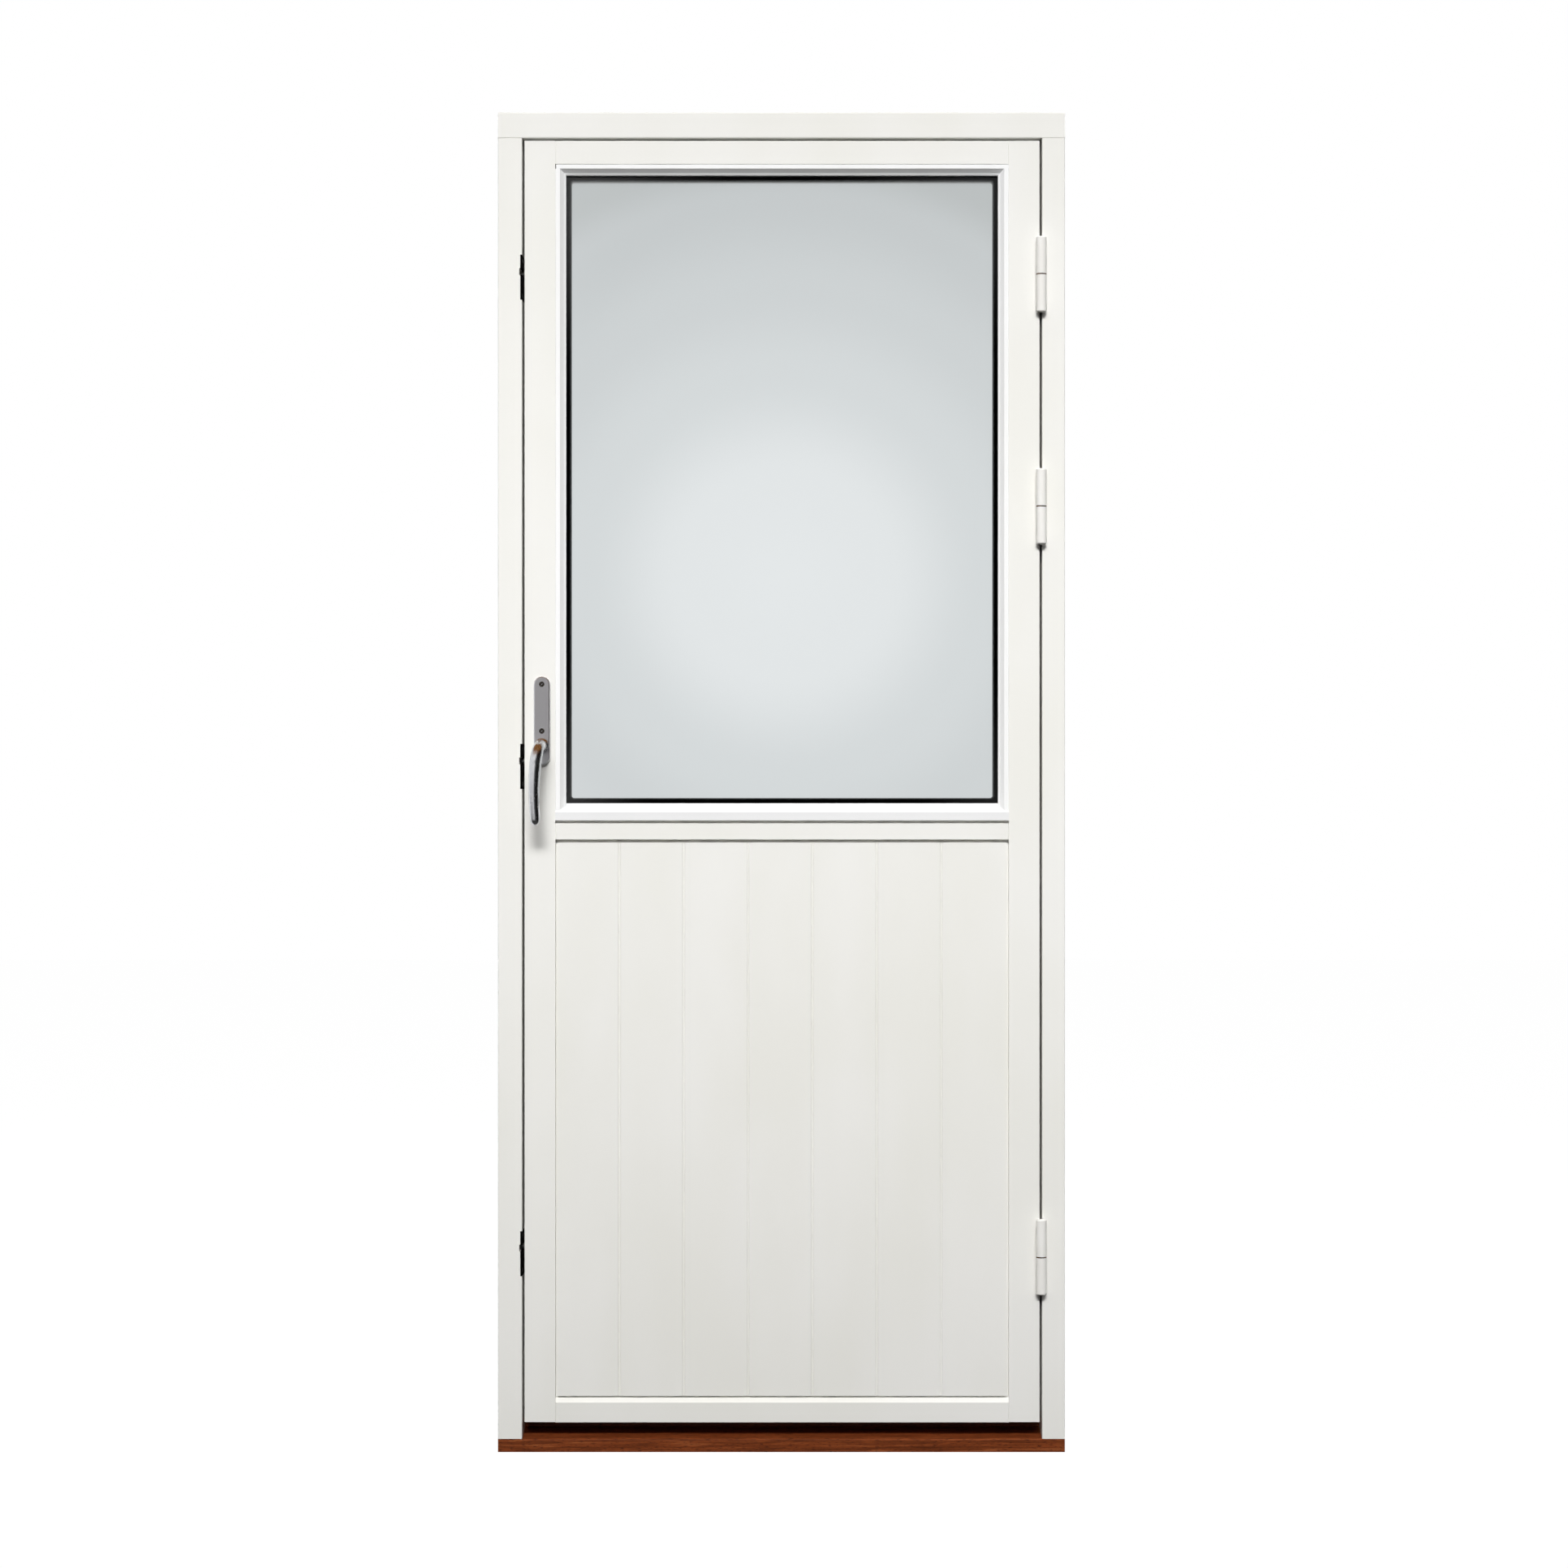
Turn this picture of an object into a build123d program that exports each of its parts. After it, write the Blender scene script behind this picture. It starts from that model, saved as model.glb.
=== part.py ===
from build123d import *
import os
from math import acos, cos, pi, radians, sin, tan

# Balcony door with its frame: a painted timber leaf that opens outwards, glazed above a grooved panel.
# Millimetres. X runs to the right seen from outside, +Y runs indoors, +Z is up.
# Zero is the middle of the threshold's underside, in the plane of the frame's outer face.

# Frame
frame_width = 880
frame_height = 2080
frame_depth = 115
lock_jamb_lip = 37.5
hinge_jamb_lip = 35.5
head_lip = 40.5
stop_reach = 15
seal_gap = 4
wood_round = 2

# Threshold
threshold_nose = 20.4
threshold_rise = 7.6
threshold_flat = 24
threshold_inner_fall = 11.5
threshold_round = 3

# Gaps between leaf and frame
lock_gap = 3.5
hinge_gap = 3.5
head_gap = 4
leaf_bottom = 46.5

# Leaf timbers
leaf_thickness = 56
stile_face = 48
top_rail_face = 36
mid_rail_bottom = 951
mid_rail_face = 25
bottom_rail_face = 31.4
bottom_rail_drop = 1.2
bottom_rail_weathering = 7.1
leaf_lip_thickness = 11
edge_cover = 16.2
leaf_round = 1.5
joint_break = 1

# Glazing
tape_thickness = 3
pane_thickness = 4
cavity = 16
unit_clearance = 5
seal_depth = 8
spacer_width = 10.5
spacer_corner = 4
spacer_shoulder = 2
tape_width = 9
block_length = 100
block_height = 5
block_from_edge = 90
glazing_floor_step = 15.5
glazing_floor_setback = 6

# Glazing beads
bead_setback = 0.5
bead_flat = 7
bead_bevel = 5.8
bead_bevel_depth = 6.5
bead_arris_depth = 8.5
bead_edge_break = 1
bead_scribe_gap = 0.6
top_bead_end_gap = 1.3
sill_bead_gap = 4
sill_bead_front = 13.5
sill_bead_slope = 13.5
sill_bead_nose = 2.5
sill_bead_round = 1

# Panel
panel_setback = 3.5
panel_sheet = 9
panel_edge_depth = 4.5
panel_edge_side = 3.8
panel_edge_top = 4.8
panel_edge_bottom = 2.8
groove_count = 6
groove_pitch = 100
groove_shift = -2.8
groove_width = 5
groove_depth = 2.2

# Dowels and frame screws
dowel_radius = 6
dowel_in_stile = 30
dowel_in_rail = 55
dowel_spread = 20
frame_screw_radius = 3
frame_screw_length = 95
frame_screw_head_radius = 5.5
frame_screw_head_height = 4
frame_screw_front = 25
frame_screw_back = 88

# Holes for fixing the frame in the wall
fixing_radius = 7
fixing_y = 88
fixing_count = 4
fixing_from_end = 200

# Weather gasket
gasket_inset = 6
gasket_foot = 3
gasket_foot_depth = 4
gasket_bulb = 5
gasket_clearance = 0.3

# Hinges
lower_hinge_height = 303.9
upper_hinge_drop = 208.5
upper_hinge_spacing = 359.6
hinge_radius = 8
hinge_half = 57.6
hinge_washer = 1.8
hinge_face_clearance = 0.5
hinge_plate = 2.5
hinge_plate_reach = 32
hinge_plate_corner = 6
hinge_pin_radius = 5
hinge_pin_clearance = 0.05
hinge_pin_end = 9
hinge_end_round = 2.5
hinge_screw_length = 28
hinge_screw_pitch = 17
hinge_screw_y = 19

# Handle
spindle_from_edge = 27.5
spindle_above_mid_rail = 121
spindle_side = 8
spindle_clearance = 0.05
spindle_end_play = 1
plate_length = 137
plate_width = 25
plate_thickness = 8
plate_below_spindle = 30.2
plate_round = 2
plate_screws_above_spindle = (22.1, 94.6)
plate_screw_radius = 2.5
plate_screw_head_radius = 4.2
plate_screw_head_height = 2.4
plate_screw_end = 3
plate_screw_slot = 1.1
plate_screw_slot_depth = 1
bush_radius = 9.5
journal_radius = 7.5
journal_clearance = 0.05
collar_radius = 11
collar_length = 9
collar_clearance = 0.4
grip_radius = 7.9
grip_stand_off = 51
lever_length = 124.6
grip_lean = 3
grip_side = 6
grip_knee = 60
lever_bend = 17
grip_bend = 90
lever_socket_end = 8

# Espagnolette
faceplate_width = 16
faceplate_thickness = 2.5
faceplate_above_leaf_bottom = 103.5
faceplate_below_leaf_top = 45.5
rod_width = 10
rod_thickness = 3
rod_past_pins = 27
rod_clearance = 0.3
groove_side_clearance = 1.5
gear_module = 1.25
gear_teeth = 18
gear_width = 8.6
gear_backlash = 0.12
gear_root_clearance = 0.3
gear_turn = 90
pressure_angle = 20
rack_below_spindle = 11
rack_above_spindle = 29
case_width = 15
case_wall = 1.5
case_half_height = 46
case_radial_clearance = 1.2
hub_radius = 8.5
hub_clearance = 0.05
pin_shank_radius = 3
pin_head_radius = 4.5
pin_reach = 6.2
pin_chamfer = 0.8
faceplate_screws_from_end = (15, 80)
small_screw_radius = 2
small_screw_head_radius = 4
small_screw_head_height = 2
small_screw_length = 25

# Strike plates
lower_strike_height = 307.7
middle_strike_below_spindle = 32.7
upper_strike_drop = 211.7
strike_height = 70
strike_depth = 44
strike_thickness = 3
strike_setback = 1
strike_corner = 3
strike_play = 0.9
strike_screw_spread = 27
strike_screw_y = 14
strike_pocket = 1.5

# How far a cutting outline runs past the face that it opens
past = 1

# Worked-out places
rebate_depth = leaf_thickness + seal_gap
threshold_stop_top = leaf_bottom + stop_reach
frame_left = -frame_width / 2
frame_right = frame_width / 2
lock_wall = frame_left + lock_jamb_lip
hinge_wall = frame_right - hinge_jamb_lip
head_wall = frame_height - head_lip
lock_stop = lock_wall + stop_reach
hinge_stop = hinge_wall - stop_reach
head_stop = head_wall - stop_reach

leaf_left = lock_wall + lock_gap
leaf_right = hinge_wall - hinge_gap
leaf_top = head_wall - head_gap
opening_left = leaf_left + stile_face
opening_right = leaf_right - stile_face
opening_middle = (opening_left + opening_right) / 2
sight_left = opening_left + edge_cover
sight_right = opening_right - edge_cover
lip_front = leaf_thickness - leaf_lip_thickness
inner_pane_back = lip_front - tape_thickness
outer_pane_front = inner_pane_back - 2 * pane_thickness - cavity
bead_back = outer_pane_front - tape_thickness

top_rail_bottom = leaf_top - top_rail_face
mid_rail_top = mid_rail_bottom + mid_rail_face
glazing_floor = mid_rail_top + glazing_floor_step
sill_bead_bottom = mid_rail_top + sill_bead_gap
sill_bead_break = sill_bead_bottom + sill_bead_front
sill_bead_top = sill_bead_break + sill_bead_slope
bottom_rail_bottom = leaf_bottom - bottom_rail_drop
bottom_rail_arris = bottom_rail_bottom + bottom_rail_face
panel_bottom = bottom_rail_arris + bottom_rail_weathering
panel_top = mid_rail_bottom

unit_left = opening_left + unit_clearance
unit_right = opening_right - unit_clearance
unit_bottom = glazing_floor + block_height
unit_top = top_rail_bottom - unit_clearance

spindle_x = leaf_left + spindle_from_edge
spindle_height = mid_rail_top + spindle_above_mid_rail
spindle_middle = leaf_thickness / 2
plate_screw_heights = [spindle_height + rise for rise in plate_screws_above_spindle]
hinge_axis_x = (leaf_right + hinge_wall) / 2
hinge_axis_y = -hinge_radius - hinge_face_clearance
upper_hinge_height = leaf_top - upper_hinge_drop
hinge_splits = (lower_hinge_height, upper_hinge_height - upper_hinge_spacing, upper_hinge_height)
strike_centres = (
    lower_strike_height,
    spindle_height - middle_strike_below_spindle,
    leaf_top - upper_strike_drop,
)

pitch_radius = gear_module * gear_teeth / 2
dedendum = gear_module + gear_root_clearance
tooth_pitch = pi * gear_module
rod_travel = pitch_radius * radians(gear_turn)
bolt_y = leaf_thickness / 2
rod_front = leaf_left + faceplate_thickness + rod_clearance
rod_back = rod_front + rod_thickness
rack_line = spindle_x - pitch_radius
case_back = spindle_x + pitch_radius + gear_module + case_radial_clearance + case_wall
pin_rest_heights = [centre + rod_travel / 2 for centre in strike_centres]
rod_bottom = pin_rest_heights[0] - rod_past_pins
rod_top = pin_rest_heights[-1] + rod_past_pins
rack_bottom = spindle_height - rack_below_spindle
rack_top = spindle_height + rack_above_spindle
faceplate_bottom = leaf_bottom + faceplate_above_leaf_bottom
faceplate_top = leaf_top - faceplate_below_leaf_top


def block(x, y, z):
    """A square-edged block between the low and high value of each pair."""
    solid = Box(x[1] - x[0], y[1] - y[0], z[1] - z[0], align=(Align.MIN, Align.MIN, Align.MIN))
    return Pos(x[0], y[0], z[0]) * solid


def rod_along_x(radius, x, y, z):
    turned = Rot(0, 90, 0) * Cylinder(radius, x[1] - x[0])
    return Pos((x[0] + x[1]) / 2, y, z) * turned


def rod_along_y(radius, x, y, z):
    turned = Rot(90, 0, 0) * Cylinder(radius, y[1] - y[0])
    return Pos(x, (y[0] + y[1]) / 2, z) * turned


def rod_along_z(radius, x, y, z):
    return Pos(x, y, (z[0] + z[1]) / 2) * Cylinder(radius, z[1] - z[0])


def outline(points, corner_radius=0, corners=()):
    """A face through the points, rounded at the corners that are named."""
    face = make_face(Polyline(*points, close=True))
    if not corners:
        return face
    chosen = [face.vertices().sort_by_distance(Vector(*corner, 0))[0] for corner in corners]
    return fillet(chosen, corner_radius)


def upright(face, z):
    """Runs a plan outline, drawn in X and Y, up from the first height to the second."""
    return extrude(Pos(0, 0, z[0]) * face, z[1] - z[0], dir=(0, 0, 1))


def crosswise(face, x):
    """Runs a section, drawn in Y and Z, across from the first X to the second."""
    return extrude(Pos(x[0], 0, 0) * (Plane.YZ * face), x[1] - x[0], dir=(1, 0, 0))


def inwards(face, y):
    """Runs an elevation, drawn in X and Z, from the first depth to the second."""
    return extrude(Pos(0, y[0], 0) * (Plane.XZ * face), y[1] - y[0], dir=(0, 1, 0))


def ring(x, z, width, y):
    """A square ring, as a gasket or a spacer makes, set in from the outer X and Z pairs."""
    inner_x = (x[0] + width, x[1] - width)
    inner_z = (z[0] + width, z[1] - width)
    return block(x, y, z) - block(inner_x, y, inner_z)


def countersunk_screw(length, radius, head_radius, head_height):
    """A screw along +Z with the flat of its head at zero and its point at -length."""
    half = [
        (0, 0),
        (head_radius, 0),
        (radius, -head_height),
        (radius, -length + 2 * radius),
        (0, -length),
    ]
    return revolve(Plane.XZ * make_face(Polyline(*half, close=True)), Axis.Z)


def small_screw(length=small_screw_length):
    return countersunk_screw(length, small_screw_radius, small_screw_head_radius, small_screw_head_height)


def facing_left(screw, x, y, z):
    """Turns a screw so that its head looks to -X."""
    return Pos(x, y, z) * (Rot(0, -90, 0) * screw)


def facing_right(screw, x, y, z):
    """Turns a screw so that its head looks to +X."""
    return Pos(x, y, z) * (Rot(0, 90, 0) * screw)


# The frame

def head_section():
    lip = head_wall
    return outline(
        [(0, lip), (rebate_depth, lip), (rebate_depth, head_stop), (frame_depth, head_stop),
         (frame_depth, frame_height), (0, frame_height)],
        wood_round,
        [(0, lip), (0, frame_height), (rebate_depth, head_stop), (frame_depth, head_stop)],
    )


def threshold_section(rounded):
    slope_top = threshold_nose + threshold_rise
    flat_end = rebate_depth + threshold_flat
    inner_edge = threshold_stop_top - threshold_inner_fall
    points = [
        (0, 0), (0, threshold_nose), (rebate_depth, slope_top), (rebate_depth, threshold_stop_top),
        (flat_end, threshold_stop_top), (frame_depth, inner_edge), (frame_depth, 0),
    ]
    corners = [(0, threshold_nose), (rebate_depth, threshold_stop_top), (frame_depth, inner_edge)]
    return outline(points, threshold_round, corners if rounded else ())


def gasket_ring(width, y, centre_inset=gasket_inset):
    """One ring of the weather gasket, set around the middle line of its groove."""
    x = (lock_stop - centre_inset - width / 2, hinge_stop + centre_inset + width / 2)
    z = (threshold_stop_top - centre_inset - width / 2, head_stop + centre_inset + width / 2)
    return ring(x, z, width, y)


def gasket_foot_ring():
    return gasket_ring(gasket_foot, (rebate_depth, rebate_depth + gasket_foot_depth))


def frame_gasket():
    bulb = gasket_ring(gasket_bulb, (leaf_thickness + gasket_clearance, rebate_depth))
    front_edges = bulb.edges().group_by(Axis.Y)[0]
    return fillet(front_edges, gasket_bulb / 4) + gasket_foot_ring()


def frame_screw_places():
    """X, Y, height of the head and the way that it looks, for each corner screw."""
    places = []
    for x in (frame_left + lock_jamb_lip / 2, frame_right - hinge_jamb_lip / 2):
        for y in (frame_screw_front, frame_screw_back):
            places.append((x, y, frame_height, 1))
            places.append((x, y, 0, -1))
    return places


def frame_screws():
    screw = countersunk_screw(
        frame_screw_length, frame_screw_radius, frame_screw_head_radius, frame_screw_head_height
    )
    placed = []
    for x, y, height, way in frame_screw_places():
        turned = screw if way > 0 else Rot(180, 0, 0) * screw
        placed.append(Pos(x, y, height) * turned)
    return Compound(children=placed)


def head():
    timber = crosswise(head_section(), (frame_left, frame_right))
    return timber - gasket_foot_ring() - frame_screws().solids()


def threshold():
    timber = crosswise(threshold_section(True), (frame_left, frame_right))
    return timber - gasket_foot_ring() - frame_screws().solids()


def fixing_heights():
    """Evenly spaced between the lowest hole and the highest, which are as far from the frame's ends."""
    spacing = (frame_height - 2 * fixing_from_end) / (fixing_count - 1)
    return [fixing_from_end + spacing * step for step in range(fixing_count)]


def jamb(outer, wall, stop):
    """A jamb scribed over the threshold and under the head, with its holes to the wall."""
    plan = outline(
        [(outer, 0), (wall, 0), (wall, rebate_depth), (stop, rebate_depth), (stop, frame_depth),
         (outer, frame_depth)],
        wood_round,
        [(outer, 0), (wall, 0), (stop, rebate_depth), (stop, frame_depth)],
    )
    timber = upright(plan, (0, frame_height))
    length = (frame_left - past, frame_right + past)
    timber -= crosswise(threshold_section(False), length)
    square_head = outline(
        [(-past, head_wall), (rebate_depth, head_wall), (rebate_depth, head_stop),
         (frame_depth + past, head_stop), (frame_depth + past, frame_height + past),
         (-past, frame_height + past)]
    )
    timber -= crosswise(square_head, length)
    span = (min(outer, stop) - past, max(outer, stop) + past)
    for height in fixing_heights():
        timber -= rod_along_x(fixing_radius, span, fixing_y, height)
    return timber - gasket_foot_ring() - frame_screws().solids()


def lock_jamb():
    timber = jamb(frame_left, lock_wall, lock_stop)
    back = lock_wall - strike_thickness
    for centre in strike_centres:
        recess = outline(
            [(-past, centre - strike_height / 2), (strike_depth, centre - strike_height / 2),
             (strike_depth, centre + strike_height / 2), (-past, centre + strike_height / 2)],
            strike_corner,
            [(strike_depth, centre - strike_height / 2), (strike_depth, centre + strike_height / 2)],
        )
        timber -= crosswise(recess, (back, lock_wall + past))
        timber -= crosswise(strike_slot(centre), (back - strike_pocket, back + past))
    return timber - strike_screws().solids()


def hinge_jamb():
    timber = jamb(frame_right, hinge_wall, hinge_stop)
    for split in hinge_splits:
        timber -= hinge_plate_block(split, -1, hinge_wall)
    return timber - hinge_frame_screws().solids()


# The strikes

def strike_slot(centre):
    """The way in from the front and the branch below it, behind the lip."""
    rest = centre + rod_travel / 2
    turned = centre - rod_travel / 2
    reach = pin_head_radius + strike_play
    way_in = [(-past, rest - reach), (-past, rest + reach), (bolt_y + reach, rest + reach)]
    branch = [
        (bolt_y + reach, turned - reach),
        (bolt_y - reach, turned - reach),
        (bolt_y - reach, rest - reach),
    ]
    return outline(way_in + branch)


def strike(centre):
    low = centre - strike_height / 2
    high = centre + strike_height / 2
    plate = outline(
        [(strike_setback, low), (strike_depth, low), (strike_depth, high), (strike_setback, high)],
        strike_corner,
        [(strike_depth, low), (strike_depth, high)],
    )
    solid = crosswise(plate, (lock_wall - strike_thickness, lock_wall))
    solid -= crosswise(strike_slot(centre), (lock_wall - strike_thickness - past, lock_wall + past))
    return solid - strike_screws().solids()


def strike_screws():
    placed = []
    for centre in strike_centres:
        placed.append(facing_right(small_screw(), lock_wall, strike_screw_y, centre - strike_screw_spread))
        placed.append(facing_right(small_screw(), lock_wall, strike_screw_y, centre + strike_screw_spread))
    return Compound(children=placed)


# The lift-off hinges

def hinge_half_span(split, way):
    """The heights of the upper half when way is 1, and of the lower half when it is -1."""
    start = split + way * hinge_washer / 2
    end = start + way * hinge_half
    return (min(start, end), max(start, end))


def hinge_plate_block(split, way, wall):
    """The plate let in flush with the wood, with the round corners of a routed mortise."""
    low, high = hinge_half_span(split, way)
    depth = hinge_plate if wall > hinge_axis_x else -hinge_plate
    plate = outline(
        [(hinge_axis_y / 2, low), (hinge_plate_reach, low), (hinge_plate_reach, high),
         (hinge_axis_y / 2, high)],
        hinge_plate_corner,
        [(hinge_plate_reach, low), (hinge_plate_reach, high)],
    )
    return crosswise(plate, (min(wall, wall + depth), max(wall, wall + depth)))


def knuckle(split, way):
    low, high = hinge_half_span(split, way)
    barrel = rod_along_z(hinge_radius, hinge_axis_x, hinge_axis_y, (low, high))
    outer_end = barrel.edges().filter_by(GeomType.CIRCLE).sort_by(Axis.Z)[-1 if way > 0 else 0]
    return fillet(outer_end, hinge_end_round)


def hinge_frame_half(split):
    """The lower half, screwed to the jamb, with the pin fast in its knuckle."""
    body = knuckle(split, -1) + hinge_plate_block(split, -1, hinge_wall)
    return body - hinge_pin(split) - hinge_frame_screws().solids()


def hinge_leaf_half(split):
    """The upper half, screwed to the leaf, which lifts off the pin."""
    low, high = hinge_half_span(split, 1)
    body = knuckle(split, 1) + hinge_plate_block(split, 1, leaf_right)
    bore = rod_along_z(
        hinge_pin_radius + hinge_pin_clearance,
        hinge_axis_x,
        hinge_axis_y,
        (low - past, high - hinge_pin_end + rod_clearance),
    )
    return body - bore - hinge_leaf_screws().solids()


def hinge_pin(split):
    low = hinge_half_span(split, -1)[0] + hinge_pin_end
    high = hinge_half_span(split, 1)[1] - hinge_pin_end
    pin = rod_along_z(hinge_pin_radius, hinge_axis_x, hinge_axis_y, (low, high))
    top = pin.edges().filter_by(GeomType.CIRCLE).sort_by(Axis.Z)[-1]
    return chamfer(top, hinge_pin_radius / 4)


def hinge_washers():
    placed = []
    for split in hinge_splits:
        span = (split - hinge_washer / 2, split + hinge_washer / 2)
        disc = rod_along_z(hinge_radius - hinge_pin_clearance, hinge_axis_x, hinge_axis_y, span)
        hole = rod_along_z(hinge_pin_radius, hinge_axis_x, hinge_axis_y, span)
        placed.append(disc - hole)
    return Compound(children=placed)


def hinge_screw_heights(split, way):
    low, high = hinge_half_span(split, way)
    middle = (low + high) / 2
    return [middle - hinge_screw_pitch, middle, middle + hinge_screw_pitch]


def hinge_frame_screws():
    placed = []
    for split in hinge_splits:
        for height in hinge_screw_heights(split, -1):
            placed.append(facing_left(small_screw(hinge_screw_length), hinge_wall, hinge_screw_y, height))
    return Compound(children=placed)


def hinge_leaf_screws():
    placed = []
    for split in hinge_splits:
        for height in hinge_screw_heights(split, 1):
            placed.append(facing_right(small_screw(hinge_screw_length), leaf_right, hinge_screw_y, height))
    return Compound(children=placed)


# The leaf's timbers

def rail_ends():
    """The stiles' lips, which the rails' lips are cut back for."""
    depth = (lip_front, leaf_thickness + past)
    height = (0, frame_height)
    return [
        block((opening_left - past, sight_left), depth, height),
        block((sight_right, opening_right + past), depth, height),
    ]


def joint_grooves():
    """The bevel on each rail's outdoor end, so that a fine V marks its joint with the stile."""
    grooves = []
    for end, inward in ((opening_left, 1), (opening_right, -1)):
        bevel = outline(
            [(end - inward * past, -past), (end + inward * (joint_break + past), -past),
             (end - inward * past, joint_break + past)]
        )
        grooves.append(upright(bevel, (0, frame_height)))
    return grooves


def rail(section):
    timber = crosswise(section, (opening_left, opening_right))
    return timber - rail_ends() - joint_grooves() - rail_dowels().solids()


def dowel_rows():
    """Height of each rail's two dowels, spaced up the rail or across its thickness."""
    low_rail = (bottom_rail_bottom + bottom_rail_arris) / 2
    mid_rail_line = (mid_rail_bottom + mid_rail_top) / 2
    high_rail = (top_rail_bottom + leaf_top) / 2
    near = (lip_front - dowel_spread) / 2
    return [(depth, height) for height in (low_rail, mid_rail_line, high_rail)
            for depth in (near, near + dowel_spread)]


def rail_dowels():
    placed = []
    for depth, height in dowel_rows():
        left = (opening_left - dowel_in_stile, opening_left + dowel_in_rail)
        right = (opening_right - dowel_in_rail, opening_right + dowel_in_stile)
        placed.append(rod_along_x(dowel_radius, left, depth, height))
        placed.append(rod_along_x(dowel_radius, right, depth, height))
    return Compound(children=placed)


def stile(outer, opening, sight):
    plan = outline(
        [(outer, 0), (opening, 0), (opening, lip_front), (sight, lip_front), (sight, leaf_thickness),
         (outer, leaf_thickness)],
        leaf_round,
        [(outer, 0), (sight, leaf_thickness), (outer, leaf_thickness)],
    )
    return upright(plan, (leaf_bottom, leaf_top)) - rail_dowels().solids()


def lock_stile():
    timber = stile(leaf_left, opening_left, sight_left)
    timber -= faceplate_blank()
    timber -= block(
        (leaf_left, rod_back + rod_clearance),
        (bolt_y - rod_width / 2 - groove_side_clearance, bolt_y + rod_width / 2 + groove_side_clearance),
        (rod_bottom - rod_travel - groove_side_clearance, rod_top + groove_side_clearance),
    )
    timber -= case_blank()
    timber -= rod_along_y(bush_radius, spindle_x, (-past, leaf_thickness + past), spindle_height)
    return timber - faceplate_screws().solids() - plate_screws().solids()


def hinge_stile():
    timber = stile(leaf_right, opening_right, sight_right)
    for split in hinge_splits:
        timber -= hinge_plate_block(split, 1, leaf_right)
    return timber - hinge_leaf_screws().solids()


def top_rail():
    lip_bottom = top_rail_bottom - edge_cover
    section = outline(
        [(0, top_rail_bottom), (lip_front, top_rail_bottom), (lip_front, lip_bottom),
         (leaf_thickness, lip_bottom), (leaf_thickness, leaf_top), (0, leaf_top)],
        leaf_round,
        [(0, leaf_top), (leaf_thickness, leaf_top), (leaf_thickness, lip_bottom)],
    )
    return rail(section)


def mid_rail():
    lip_bottom = mid_rail_bottom - edge_cover
    section = outline(
        [(0, mid_rail_bottom), (lip_front, mid_rail_bottom), (lip_front, lip_bottom),
         (leaf_thickness, lip_bottom), (leaf_thickness, sill_bead_top), (lip_front, sill_bead_top),
         (lip_front, glazing_floor), (glazing_floor_setback, glazing_floor),
         (glazing_floor_setback, mid_rail_top), (0, mid_rail_top)],
        leaf_round,
        [(leaf_thickness, lip_bottom), (leaf_thickness, sill_bead_top)],
    )
    return rail(section)


def bottom_rail():
    lip_top = panel_bottom + edge_cover
    shoulder = panel_setback + panel_edge_depth
    section = outline(
        [(0, bottom_rail_bottom), (0, bottom_rail_arris), (shoulder, panel_bottom),
         (lip_front, panel_bottom), (lip_front, lip_top), (leaf_thickness, lip_top),
         (leaf_thickness, bottom_rail_bottom)],
        leaf_round,
        [(0, bottom_rail_bottom), (leaf_thickness, lip_top), (leaf_thickness, bottom_rail_bottom)],
    )
    return rail(section)


# The panel under the glass

def groove_places():
    first = opening_middle + groove_shift - groove_pitch * (groove_count - 1) / 2
    return [first + groove_pitch * step for step in range(groove_count)]


def grooved(sheet, face, way):
    """Cuts the upright V-grooves from a face that looks to -Y when way is 1, and to +Y when it is -1."""
    for x in groove_places():
        vee = outline(
            [(x - groove_width / 2, face), (x + groove_width / 2, face), (x, face + way * groove_depth)]
        )
        sheet -= upright(vee, (panel_bottom - past, panel_top + past))
    return sheet


def panel_outer_sheet():
    """The outer sheet, its edges milled back all round so that its field stands forward."""
    front = panel_setback
    back = panel_setback + panel_sheet
    shoulder = panel_setback + panel_edge_depth
    field = block(
        (opening_left + panel_edge_side, opening_right - panel_edge_side),
        (front, shoulder),
        (panel_bottom + panel_edge_bottom, panel_top - panel_edge_top),
    )
    base = block((opening_left, opening_right), (shoulder, back), (panel_bottom, panel_top))
    return grooved(base + field, front, 1)


def panel_core():
    span = (panel_setback + panel_sheet, lip_front - panel_sheet)
    return block((opening_left, opening_right), span, (panel_bottom, panel_top))


def panel_inner_sheet():
    span = (lip_front - panel_sheet, lip_front)
    sheet = block((opening_left, opening_right), span, (panel_bottom, panel_top))
    return grooved(sheet, lip_front, -1)


# The glazing

def bead_points(wall, inward):
    """A bead's section as (place, depth): edge, flat, bevel and arris, from the wall towards the glass."""
    return [
        (wall, bead_setback + bead_edge_break),
        (wall + inward * bead_edge_break, bead_setback),
        (wall + inward * bead_flat, bead_setback),
        (wall + inward * (bead_flat + bead_bevel), bead_bevel_depth),
        (wall + inward * edge_cover, bead_arris_depth),
        (wall + inward * edge_cover, bead_back),
        (wall, bead_back),
    ]


def corner_keep_out(wall, inward):
    """What the top bead leaves to a side bead: the arris and bevel mitred, the flat square."""
    low = sill_bead_bottom
    flat_line = top_rail_bottom - bead_flat
    inner = wall + inward * edge_cover
    return outline(
        [(wall - inward, flat_line), (wall + inward * bead_flat, flat_line),
         (inner, top_rail_bottom - edge_cover), (inner, low), (wall - inward, low)]
    )


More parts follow.
